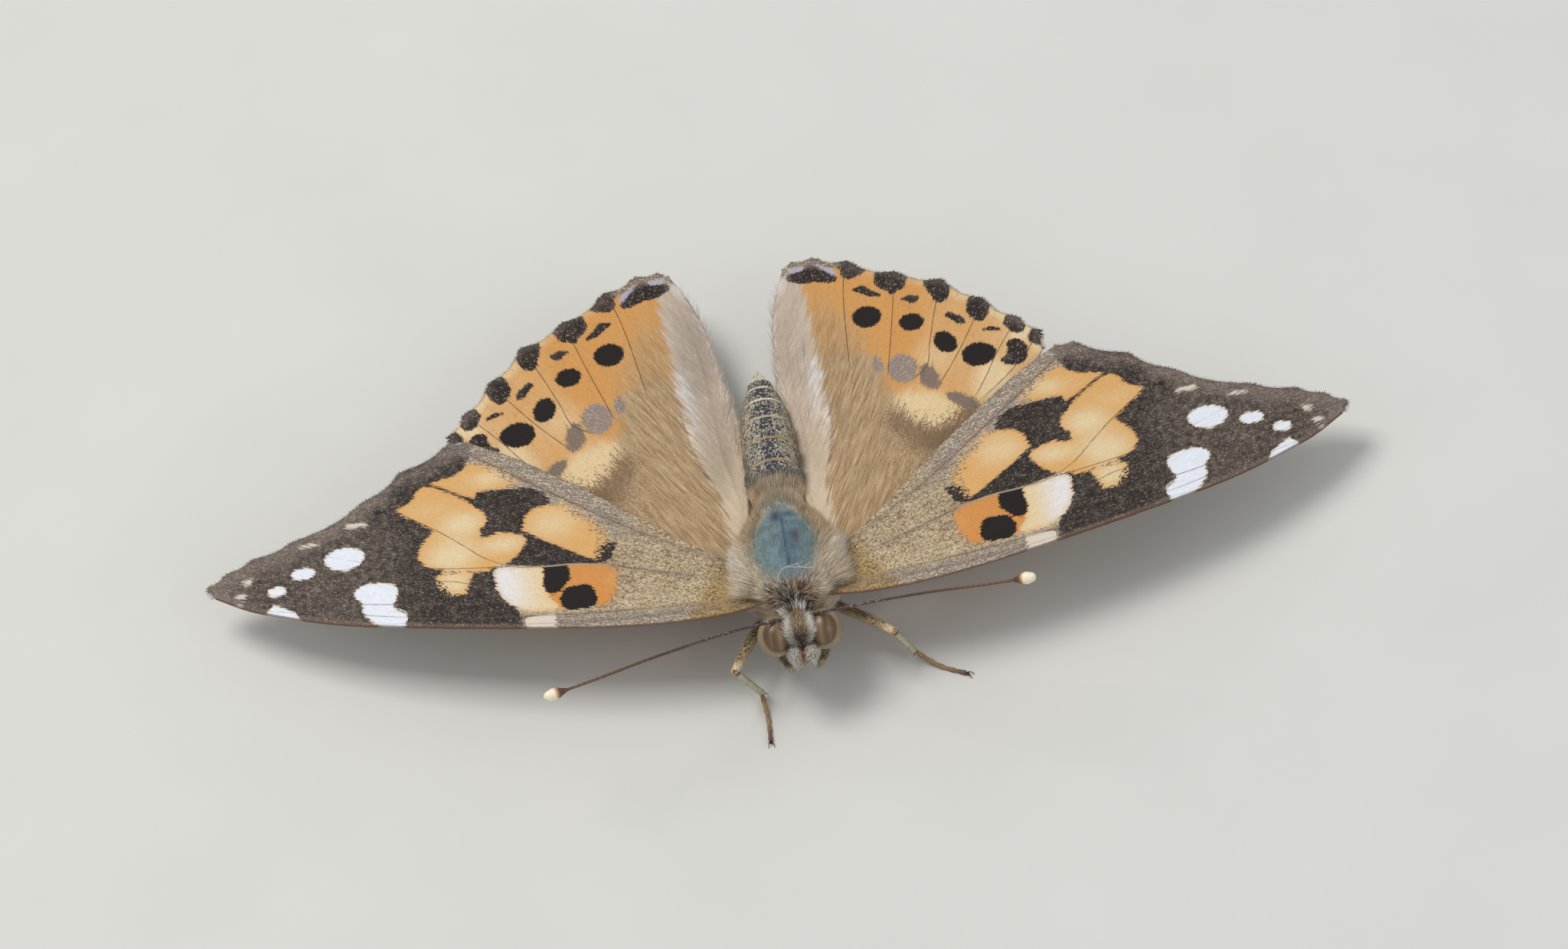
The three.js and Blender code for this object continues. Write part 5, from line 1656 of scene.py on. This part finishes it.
def make_eyes():
    paint = Paint("eye", roughness=0.38, Coat_Weight=0.2, Coat_Roughness=0.25, Sheen_Weight=0.1,
                  Sheen_Roughness=0.5)
    _, second, _, bulge = paint.grains(22000, 0.3)
    middle = paint.mix("eye", paint.mix("eye", "eye_rim", 0.55), paint["band"])
    middle = paint.mix(paint.scaled("eye", 0.72), middle, paint["disc"].above(0.55, 1.0))
    # A pale rim of painted light, where light shines through the eye's edge, round the brown middle that
    # faces the camera
    colour = paint.layers(
        "eye_rim",
        (middle, paint["disc"].above(0.05, 0.75)),
        ("pupil", paint["pupil"]),
        ("eye skirt", paint["skirt"] * 0.8))
    material = paint.finish(paint.scaled(colour, second * 0.1 + 0.95), bulge, strength=0.15, depth=0.006 * MM)

    rings, around = 48, 72
    v = np.linspace(0.02, np.pi - 0.02, rings)
    u = np.linspace(0, 2 * np.pi, around + 1)
    vv, uu = np.meshgrid(v, u, indexing="ij")
    ball = columns(np.cos(vv), np.sin(vv) * np.sin(uu), np.sin(vv) * np.cos(uu)).reshape(-1, 3)
    ball[-1 - around:] = (-1, 0, 0)
    ball[:around + 1] = (1, 0, 0)
    side_on = ball[:, 0]
    front_on = ball @ (0, 0.766, 0.643)
    # How much each point faces the camera: the brown disc lies there, and the pale rim of painted light
    # around it
    seen = ramp(ball @ (0, -0.643, 0.766), -0.15, 0.45)
    reach = np.hypot((side_on + 0.1) / 0.9, (front_on - 0.03) / 0.94)
    band = np.exp(-((side_on + 0.18) / 0.13) ** 2) + 0.5 * np.exp(-((side_on - 0.3) / 0.08) ** 2)
    ring = [(0.4 * math.cos(a), 0.4 * math.sin(a)) for a in np.linspace(0, 2 * np.pi, 7)[:-1]]
    aside = bump_at(ball[:, 1:], (0, 0), (0.15, 0.15))
    aside += 0.5 * sum(bump_at(ball[:, 1:], spot, (0.1, 0.1)) for spot in ring)
    pupil = bumps(columns(side_on, front_on), EYE_SPOTS) * seen
    pupil += 0.7 * aside * ramp(side_on, 0.1, 0.5) * (1 - seen)
    values = {"disc": fade(reach, 0.66, 1.06) * seen, "band": np.clip(band, 0, 1),
              "pupil": np.clip(pupil, 0, 1), "skirt": 1 - seen}
    faces = grid_faces(rings, around + 1)
    for side, sign in SIDES.items():
        name = f"eye_{side}"
        vertices = (ball * EYE_RADII + EYE_CENTRE) * (sign, 1, 1)
        outer = faces if sign > 0 else [tuple(reversed(f)) for f in faces]
        show(name, make_mesh(name, vertices, outer, values), (material,), "eye", name)


# Feelers, palps, legs and tongue: round limbs along smooth paths


def limb(path, radii, around=20):
    """A round limb along a path, closed at both ends, with its place along and around it."""
    path = np.asarray(path, float)
    radii = np.asarray(radii, float)
    tangent = unit(np.gradient(path, axis=0))
    aside = np.empty_like(path)
    side = np.array([1.0, 0.0, 0.0] if abs(tangent[0, 2]) > 0.95 else [0.0, 0.0, 1.0])
    for k, direction in enumerate(tangent):
        side = side - direction * (side @ direction)
        side = side / np.linalg.norm(side)
        aside[k] = side
    other = np.cross(tangent, aside)
    angle = np.linspace(0, 2 * np.pi, around + 1)
    ring = aside[:, None] * np.cos(angle)[:, None] + other[:, None] * np.sin(angle)[:, None]
    points = path[:, None] + ring * radii[:, None, None]
    points[:, -1] = points[:, 0]
    count = len(path)
    across = around + 1
    ends = [path[0] - tangent[0] * radii[0] * 0.5, path[-1] + tangent[-1] * radii[-1] * 0.6]
    faces = [(a, d, c, b) for a, b, c, d in grid_faces(count, across)]
    pole = count * across
    last = pole - across
    faces += [(pole, j + 1, j) for j in range(around)]
    faces += [(pole + 1, last + j, last + j + 1) for j in range(around)]
    return {"vertices": np.vstack([points.reshape(-1, 3), ends]), "faces": faces,
            "along": np.append(np.repeat(np.linspace(0, 1, count), across), [0, 1]),
            "turn": np.append(np.tile(angle, count), [0, 0]),
            "up": np.vstack([unit(ring).reshape(-1, 3), -tangent[0], tangent[-1]]),
            "lie": np.vstack([np.repeat(tangent, across, axis=0), tangent[0], tangent[-1]])}


def limb_places(values):
    """Places on a limb's map."""
    return columns(values["turn"] / 6.6 + 0.02, values["along"] * 0.9 + 0.05)


def joined(limbs):
    """Several limbs as one set of points and faces, keeping what each stores on its points."""
    vertices, faces, values = [], [], {}
    first = 0
    for part in limbs:
        vertices.append(part["vertices"])
        faces += [tuple(index + first for index in face) for face in part["faces"]]
        first += len(part["vertices"])
        for key, data in part.items():
            if key not in ("vertices", "faces"):
                values.setdefault(key, []).append(data)
    return np.vstack(vertices), faces, {key: np.concatenate(data) for key, data in values.items()}


ANTENNAE = {
    "right": [(-0.5, -4.5, 5.6), (-3.4, -5.75, 6.8), (-7.6, -7.5, 7.95), (-11.2, -8.7, 8.3),
        (-13.9, -9.25, 8.2)],
    "left": [(0.5, -4.5, 5.6), (3.6, -5.9, 7.5), (6.9, -7.35, 9.35), (10.2, -8.7, 10.85),
        (12.7, -9.45, 11.75)],
}
CLUB_RADIUS = 0.33
ANTENNA_JOINTS = 42
PALP = [(0.46, -5.2, 4.35), (0.46, -5.75, 4.45), (0.42, -6.15, 4.46), (0.36, -6.48, 4.42)]
TONGUE_CENTRE = (0.0, -5.35, 3.3)


def make_antennae(sizes):
    paint = Paint("antenna", roughness=0.5)
    along, joint = paint["along"], paint["joint"]
    first, second, _, bulge = paint.grains(15000, 0.9)
    white = (first + along * 0.3).above(0.97, 1.0) * along.below(0.15, 0.5)
    white = white.largest(joint.below(0.1, 0.22) * first.above(0.5, 0.7) * 0.2)
    colour = paint.layers(
        "feeler",
        ("feeler end", along.above(0.45, 0.8)),
        # Painted sheen on the middle of the shafts, laid on as grey flecks
        ("feeler grey", first.above(0.6, 0.9) * along.below(0.3, 0.7) * 0.6),
        ("feeler white", white),
        (paint.mix("club", "club joint", joint.below(0.15, 0.3) * 0.6), along.above(0.9, 0.93)),
        ("club rim", along.above(0.943, 0.952)),
        ("club tip", along.above(0.95, 0.966)))
    material = paint.finish(paint.scaled(colour, second * 0.2 + 0.9), bulge, strength=0.3)
    steps, around = ANTENNA_JOINTS * 8, 18
    t = np.linspace(0, 1, steps + 1)
    joint = (t * ANTENNA_JOINTS) % 1
    shaft_radius = sizes.antenna_width / MM / 2
    radii = shaft_radius + (CLUB_RADIUS - shaft_radius) * ramp(t, 0.905, 0.965)
    radii *= np.sqrt(np.clip(1 - ramp(t, 0.965, 1.015) ** 1.5, 0.04, 1))
    radii *= 0.95 + 0.08 * ramp(joint, 0.1, 0.9) * fade(joint, 0.9, 1)
    for side, points in ANTENNAE.items():
        part = limb(smooth_path(points, steps), radii, around)
        values = {"along": part["along"], "joint": np.append(np.repeat(joint, around + 1), [0, 0])}
        name = f"antenna_{side}"
        show(name, make_mesh(name, part["vertices"], part["faces"], values), (material,), "antenna", name)


def make_palps(sizes):
    """Two furry snouts between the eyes."""
    skin = Paint("palp_skin", roughness=0.7)
    material = skin.finish(skin.scaled(skin.attribute("coat", "Color"), 0.85))
    hair = paint_hair("palp_hair", "fur_brown", 0.95)
    for side, sign in SIDES.items():
        path = smooth_path([(x * sign, y, z) for x, y, z in PALP], 30)
        part = limb(path, 0.42 - 0.22 * np.linspace(0, 1, 31)**2, 20)
        up, along = part["up"], part["along"]
        base = fade(along, 0.38, 0.55) * ramp(up[:, 2], 0, 0.5)
        coat = layered(
            "fur_white",
            ("palp side", ramp(-up[:, 0] * sign, 0.45, 0.9) * 0.8),
            ("palp base", base * 0.8))
        name = f"palp_{side}"
        mesh = make_mesh(name, part["vertices"], part["faces"],
                         {"coat": with_alpha(coat), "up": up, "lie": part["lie"]})
        places = limb_places(part)
        put_map(mesh, places)
        show(name, mesh, (material,), "fur", name)
        bed = hair_bed(mesh, places, thick=np.ones(len(up)), long=0.8 + 0.5 * along,
                       fleck=0.05 + 0.08 * along)
        grow_coat(f"palp_coat_{side}", bed, hair, "fur", 71, 620e6, length=0.4 * MM,
                  width=sizes.hair_width * 0.9, lift=0.32, spread=0.24, droop=0.0)


LEGS = {
    "midleg_right": {"hip": (-1.2, -1.0, 2.6), "knee": (-3.8, -5.9, 3.6), "ankle": (-2.58, -5.2, 0.55),
        "sole": (-2.45, -6.6, 0.16), "toe": (-2.5, -8.25, 0.14)},
    "midleg_left": {"hip": (1.2, -1.0, 2.6), "knee": (4.97, -4.76, 3.4), "ankle": (5.9, -4.2, 0.75),
        "sole": (7.2, -5.1, 0.16), "toe": (8.5, -5.85, 0.14)},
    "hindleg_right": {"hip": (-1.1, 1.9, 2.8), "knee": (-4.1, 5.3, 3.45), "ankle": (-5.0, 7.7, 0.55),
        "sole": (-5.3, 9.0, 0.16), "toe": (-5.6, 10.8, 0.14)},
    "hindleg_left": {"hip": (1.1, 1.9, 2.8), "knee": (4.3, 5.0, 3.45), "ankle": (5.5, 7.2, 0.55),
        "sole": (6.1, 8.5, 0.16), "toe": (6.85, 10.1, 0.14)},
}
FORELEG = [(0.9, -2.2, 2.5), (1.25, -3.6, 2.1), (1.1, -4.8, 2.35), (0.75, -5.7, 2.75)]
FORELEG_HAIR = (3, 1.4)
THIGH, SHIN, KNEE, FOOT, CLAW = range(5)
# How far the knob of the knee stands out, as a share of the thigh
KNOB_SHIFT = 0.001


def leg_part(path, radii, kind, around=16):
    part = limb(path, radii, around)
    part["kind"] = np.full(len(part["vertices"]), float(kind))
    return part


def leg_parts(hip, knee, ankle, sole, toe):
    """Thigh, shin, five foot joints, spurs and two claws."""
    hip, knee, ankle, sole, toe = (np.array(p) for p in (hip, knee, ankle, sole, toe))
    t = np.linspace(0, 1, 25)
    thigh = hip + (knee - hip) * t[:, None] + columns(0, 0, 0.12 * np.sin(np.pi * t))
    knob = knee + (knee - hip) * KNOB_SHIFT
    shin = knee + (ankle - knee) * t[:, None]
    shin_radii = 0.15 + 0.03 * ramp(t, 0.6, 1) + 0.02 * np.sin(np.pi * t)
    s = np.linspace(0, 1, 51)
    joint = (s * 5) % 1
    foot_radii = 0.095 + 0.035 * ramp(joint, 0.2, 0.9) * fade(joint, 0.92, 1) + 0.02 * (1 - s)
    parts = [leg_part(thigh, 0.19 + 0.09 * np.sin(np.pi * t) ** 0.6, THIGH),
             leg_part(shin, shin_radii, SHIN),
             leg_part([knob - (0, 0, 0.12), knob, knob + (0, 0, 0.1)], [0.14, 0.2, 0.13], KNEE),
             leg_part(smooth_path([ankle, sole, toe], 50), foot_radii, FOOT, 12)]
    forward = unit(toe - sole)
    across = unit(np.cross(forward, (0, 0, 1)))
    down = unit(ankle - knee)
    for way in (-across, across):
        claw = [toe, toe + forward * 0.16 + way * 0.09 + (0, 0, 0.06),
                toe + forward * 0.36 + way * 0.15 + (0, 0, -0.02),
                toe + forward * 0.42 + way * 0.15 + (0, 0, -0.11)]
        parts.append(leg_part(smooth_path(claw, 10), np.linspace(0.045, 0.01, 11), CLAW, 8))
        spur = [ankle - down * 0.05, ankle + down * 0.2 + way * 0.16, ankle + down * 0.45 + way * 0.2]
        parts.append(leg_part(smooth_path(spur, 6), np.linspace(0.045, 0.01, 7), CLAW, 8))
    pad = [toe + forward * 0.04, toe + forward * 0.16 + (0, 0, -0.04)]
    parts.append(leg_part(pad, [0.08, 0.07], CLAW, 8))
    return parts


def make_legs(sizes):
    paint = Paint("leg", roughness=0.6)
    first, second, _, bulge = paint.grains(9000, 0.8)
    kind, along = paint["kind"], paint["along"]
    stripe = (paint["turn"] * 2.0).cosine()
    thigh = paint.layers(
        "leg",
        ("thigh stripe", (stripe * 0.3 + first).above(0.72, 0.85) * 0.85),
        ("thigh end", along.above(0.86, 0.93) * 0.8))
    shin = paint.layers(
        "shin",
        ("shin stripe", (stripe * 0.5 + first).above(0.7, 1.0) * 0.7),
        ("shin top", along.below(0.05, 0.16)))
    foot = paint.mix("foot", "foot end", along.above(0.55, 1.0) * 0.7 + first * 0.2)
    colour = paint.layers(
        thigh,
        (shin, kind.above(SHIN - 0.6, SHIN - 0.4)),
        (paint.mix("knee", "knee fleck", first.above(0.7, 0.8)),
         kind.above(KNEE - 0.6, KNEE - 0.4)),
        (foot, kind.above(FOOT - 0.6, FOOT - 0.4)),
        ("claw", kind.above(CLAW - 0.6, CLAW - 0.4)))
    material = paint.finish(paint.scaled(colour, second * 0.35 + 0.72), bulge, strength=0.5)
    bristle = paint_hair("leg_hair", "bristle light")
    for name, joints in LEGS.items():
        build_leg(name, leg_parts(**joints), material, bristle, sizes)
    for side, sign in SIDES.items():
        path = smooth_path([(x * sign, y, z) for x, y, z in FORELEG], 40)
        part = leg_part(path, np.linspace(0.24, 0.12, 41), THIGH)
        build_leg(f"foreleg_{side}", [part], material, bristle, sizes, FORELEG_HAIR)


def build_leg(name, parts, material, bristle, sizes, furry=(1, 1)):
    """One leg with its bristles, which may be so many times denser and longer."""
    vertices, faces, values = joined(parts)
    mesh = make_mesh(name, vertices, faces, values)
    places = limb_places(values)
    put_map(mesh, places)
    show(name, mesh, (material,), "leg_scales", name)
    kind = values["kind"]
    over = ramp(values["up"][:, 2], 0.0, 0.6)
    thick = np.select([kind == THIGH, kind == SHIN, kind == FOOT], [0.5 + over, 0.35, 0.25], 0.0)
    long = np.select([kind == THIGH, kind == SHIN], [0.6 + 0.8 * over * (1 - values["along"]), 0.35], 0.22)
    coat = blend("bristle", "dark bristle", ramp(kind, 0.5, 1.5))
    denser, longer = furry
    bed = hair_bed(mesh, places, thick=thick * denser, long=long * longer, fleck=np.full(len(kind), 0.3),
                   coat=with_alpha(coat))
    grow_coat(f"{name}_coat", bed, bristle, "leg_scales", 83, 42e6, length=0.6 * MM,
              width=sizes.hair_width * 0.8, lift=0.45, spread=0.2, droop=0.05)


def make_tongue():
    """The coiled tongue under the palps."""
    steps = 140
    turns = np.linspace(0, 2 * np.pi * 2.6, steps)
    radius = np.linspace(0.42, 0.13, steps)
    path = TONGUE_CENTRE + columns(np.linspace(-0.03, 0.03, steps), radius * np.cos(turns),
                                   radius * np.sin(turns))
    part = limb(path, np.full(steps, 0.06), 10)
    paint = Paint("tongue", roughness=0.35)
    speck = paint.noise(paint.place(), 4000.0)
    material = paint.finish(paint.mix("tongue", "tongue fleck", speck), speck)
    show("tongue", make_mesh("tongue", part["vertices"], part["faces"]), (material,), "antenna")


# Fringes and wing hair


def fringe_bed(kind, side, drawing):
    """A narrow ribbon along a wing's margin that carries the growth of its fringe."""
    wing = WINGS[kind]
    keep = drawing["between"] >= 0
    path = drawing["outline"][keep]
    step = unit(np.gradient(path, axis=0))
    outward = columns(step[:, 1], -step[:, 0])
    centre = drawing["outline"].mean(axis=0)
    outward = outward * np.sign(((path - centre) * outward).sum(axis=1).mean())
    middle, normal, along_x, along_y = surface_frame(wing["surface"], np.vstack([path, path - outward * 0.1]),
                                                     side)
    outs = np.vstack([outward, outward])
    mirror = (SIDES[side], 1, 1)
    count = len(path)
    faces = [(k, k + 1, k + 1 + count, k + count) for k in range(count - 1)]
    pale = np.tile(ramp(np.sin(np.pi * drawing["between"][keep]), 0.55, 0.85), 2)
    light, darkness = ("white", 0.75) if kind == "forewing" else ("cream", 0.5)
    coat = blend(np.array(named_colour("brown")) * darkness, light, pale * 0.85)
    ones = np.ones(2 * count)
    return make_mesh(f"fringe_{kind}_{side}", (middle + normal * wing["lift"]) * mirror, faces, {
        "lie": unit(along_x * outs[:, :1] + along_y * outs[:, 1:]) * mirror, "up": normal * mirror,
        "thick": ones, "long": ones, "fleck": 0.06 * ones, "coat": with_alpha(coat),
        "place": columns(np.tile(np.linspace(0.05, 0.95, count), 2), 0.5, 0)})


def wing_hair_bed(kind, side, drawing):
    """The upper face of a wing with the growth of the hair near its root and inner edge."""
    wing = WINGS[kind]
    points = drawing["points"]
    ones = np.ones(len(points))
    x, y = points.T
    middle, normal, along_x, along_y = surface_frame(wing["surface"], points, side)
    way = unit(points - (2.4, -2.0))
    if kind == "hindwing":
        fold = drawing["values"]["fold"]
        inner = fade(x - np.interp(y, (12, 21), (1.3, 3.2)), 0.3, 1.3)
        way = blend(columns(*way.T, 0), columns(0.15 - 0.4 * inner, 1, 0), fold)[:, :2]
        fan = fade(x + 0.1 * y, 6.2, 8.4) * fade(y, 11, 17.5) * (1 - 0.6 * ramp(x, 4, 6))
        thick = np.maximum(fan * (1 - 0.6 * fold), 2.2 * inner) * ramp(y, 1.5, 3) * fade(y, 17, 20)
        long = (0.7 + 0.35 * ramp(y, 4, 9)) * (1 - 0.45 * inner)
        silk = np.array(named_colour("fold")) * (1.1 - 0.22 * ramp(y, 10, 14))[:, None]
        coat = layered(
            "fur_tan",
            ("bark", 0.25 * (1 - fold)),
            ("warm", 0.6 * ramp(y, 10, 14)),
            (silk, fold * (0.3 + 0.7 * ramp(y, 6, 10))))
    else:
        thick = fade(np.hypot(x - 3, y + 1.5), 2.5, 6.5) * ramp(y, -2.9, -1.2)
        long = 0.4 * ones
        coat = blend("fur_tan", "ochre", 0.5 * ones)
    mirror = (SIDES[side], 1, 1)
    return make_mesh(f"hair_{kind}_{side}", (middle + normal * (wing["lift"] + 0.05)) * mirror,
                     drawing["triangles"], {
        "lie": unit(along_x * way[:, :1] + along_y * way[:, 1:]) * mirror, "up": normal * mirror,
        "thick": thick, "long": long, "fleck": 0.13 * ones, "coat": with_alpha(coat),
        "place": columns(*map_places(wing, points).T, 0)})


# Camera, light and floor

FLOOR_HALF = 3.0


def view_axes():
    """The camera's right, up and back directions."""
    level_up = Vector((0, math.sin(VIEW_SLOPE), math.cos(VIEW_SLOPE)))
    right = math.cos(VIEW_ROLL) * Vector((1, 0, 0)) - math.sin(VIEW_ROLL) * level_up
    up = math.sin(VIEW_ROLL) * Vector((1, 0, 0)) + math.cos(VIEW_ROLL) * level_up
    return right, up, right.cross(up)


def make_camera():
    right, up, back = view_axes()
    data = bpy.data.cameras.new("view")
    data.sensor_width = 36
    data.lens = data.sensor_width * VIEW_DISTANCE / (VIEW_WIDTH * MM)
    data.clip_start = 0.01
    data.clip_end = 50
    camera = add_object("view", data)
    target = Vector(to_frame(VIEW_POINT))
    turn = Matrix((right, up, back)).transposed().to_4x4()
    camera.matrix_world = Matrix.Translation(target + back * VIEW_DISTANCE) @ turn
    bpy.context.scene.camera = camera


def make_light(name, place, aim, size, power, colour):
    data = bpy.data.lights.new(name, "AREA")
    data.size = size
    data.energy = power
    data.color = colour
    light = add_object(name, data)
    light.location = place
    light.rotation_euler = (Vector(aim) - Vector(place)).to_track_quat("-Z", "Y").to_euler()


def make_floor():
    corners = [(-FLOOR_HALF, -FLOOR_HALF, 0), (FLOOR_HALF, -FLOOR_HALF, 0), (FLOOR_HALF, FLOOR_HALF, 0),
               (-FLOOR_HALF, FLOOR_HALF, 0)]
    mesh = bpy.data.meshes.new("floor")
    mesh.from_pydata(corners, [], [(0, 1, 2, 3)])
    paint = Paint("floor", roughness=0.9)
    speck = paint.noise(paint.place(), 90.0, 3.0)
    mesh.materials.append(paint.finish(paint.mix("floor", "floor fleck", speck)))
    add_object("floor", mesh)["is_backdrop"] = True


class ButterflyOperator:
    """What every operator of this add-on shares."""

    bl_options = {"REGISTER", "UNDO"}

    @property
    def sizes(self):
        return bpy.context.scene.butterfly_sizes


class BUTTERFLY_OT_stage(ButterflyOperator, bpy.types.Operator):
    """Set up the camera, the soft light and the pale floor"""

    bl_idname = "butterfly.stage"
    bl_label = "Stage"

    def execute(self, context):
        make_camera()
        make_floor()
        world = bpy.data.worlds.new("studio")
        world.use_nodes = True
        world.node_tree.nodes["Background"].inputs["Color"].default_value = (0.94, 0.97, 1.0, 1.0)
        world.node_tree.nodes["Background"].inputs["Strength"].default_value = 0.52
        context.scene.world = world
        make_light("key", (-0.25, 0.1, 0.6), (0, 0, 0), 0.3, 2.6, (1.0, 0.985, 0.96))
        make_light("fill", (0.4, -0.45, 0.35), (0, 0, 0), 0.4, 0.75, (0.94, 0.97, 1.0))
        context.scene.view_settings.view_transform = "Standard"
        return {"FINISHED"}


class BUTTERFLY_OT_wings(ButterflyOperator, bpy.types.Operator):
    """Make the four wings"""

    bl_idname = "butterfly.wings"
    bl_label = "Wings"

    def execute(self, context):
        spacing = self.sizes.wing_mesh / MM * 1
        uppers = {"forewing": paint_forewing(), "hindwing": paint_hindwing()}
        lowers = {"forewing": paint_forewing_below(), "hindwing": paint_hindwing_below()}
        scales = paint_hair("fringe_scales", "cream")
        hair = paint_hair("wing_hair", "fur_grey", 0.95)
        for kind in WINGS:
            drawing = wing_drawing(kind, spacing)
            for side in SIDES:
                make_wing(kind, side, drawing, self.sizes, (uppers[kind], lowers[kind]))
                grow_coat(f"{kind}_fringe_{side}", fringe_bed(kind, side, drawing), scales,
                          "wing_scales", 97, 600e6, length=self.sizes.fringe_length,
                          width=self.sizes.hair_width * 1.1, lift=0.02, spread=0.09, droop=0.1)
                grow_coat(f"{kind}_hair_{side}", wing_hair_bed(kind, side, drawing), hair, "fur",
                          101, 30e6, length=self.sizes.wing_hair, width=self.sizes.hair_width * 0.5,
                          lift=0.05, spread=0.04, droop=0.03)
        return {"FINISHED"}


class BUTTERFLY_OT_body(ButterflyOperator, bpy.types.Operator):
    """Make the skin of head, thorax and abdomen with its coat"""

    bl_idname = "butterfly.body"
    bl_label = "Body and coat"

    def execute(self, context):
        make_body(self.sizes)
        make_long_hairs()
        return {"FINISHED"}


class BUTTERFLY_OT_head_parts(ButterflyOperator, bpy.types.Operator):
    """Make the eyes, palps, tongue and feelers"""

    bl_idname = "butterfly.head_parts"
    bl_label = "Eyes, palps and feelers"

    def execute(self, context):
        make_eyes()
        make_palps(self.sizes)
        make_tongue()
        make_antennae(self.sizes)
        return {"FINISHED"}


class BUTTERFLY_OT_legs(ButterflyOperator, bpy.types.Operator):
    """Make the six legs"""

    bl_idname = "butterfly.legs"
    bl_label = "Legs"

    def execute(self, context):
        make_legs(self.sizes)
        return {"FINISHED"}


class BUTTERFLY_PT_panel(bpy.types.Panel):
    """Lists the butterfly's pieces, sizes and colours"""

    bl_idname = "BUTTERFLY_PT_panel"
    bl_label = "Painted lady"
    bl_space_type = "VIEW_3D"
    bl_region_type = "UI"
    bl_category = "Butterfly"

    def draw(self, context):
        for operator in OPERATORS:
            self.layout.operator(operator.bl_idname)
        for group in (context.scene.butterfly_sizes, context.scene.butterfly_colours):
            for name in group.__annotations__:
                self.layout.prop(group, name)


OPERATORS = (
    BUTTERFLY_OT_stage,
    BUTTERFLY_OT_wings,
    BUTTERFLY_OT_body,
    BUTTERFLY_OT_head_parts,
    BUTTERFLY_OT_legs,
)
CLASSES = (ButterflySizes, ButterflyColours, *OPERATORS, BUTTERFLY_PT_panel)


def register():
    for item in CLASSES:
        bpy.utils.register_class(item)
    bpy.types.Scene.butterfly_sizes = PointerProperty(type=ButterflySizes)
    bpy.types.Scene.butterfly_colours = PointerProperty(type=ButterflyColours)


def unregister():
    del bpy.types.Scene.butterfly_colours
    del bpy.types.Scene.butterfly_sizes
    for item in reversed(CLASSES):
        bpy.utils.unregister_class(item)


def main():
    register()
    for operator in OPERATORS:
        group, name = operator.bl_idname.split(".")
        getattr(getattr(bpy.ops, group), name)()
    as_lists = [[list(map(float, corner)) for corner in box] for box in (CAD_BOX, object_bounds())]
    {"cad": as_lists[0], "visual": as_lists[1]}


if __name__ == "__main__":
    main()
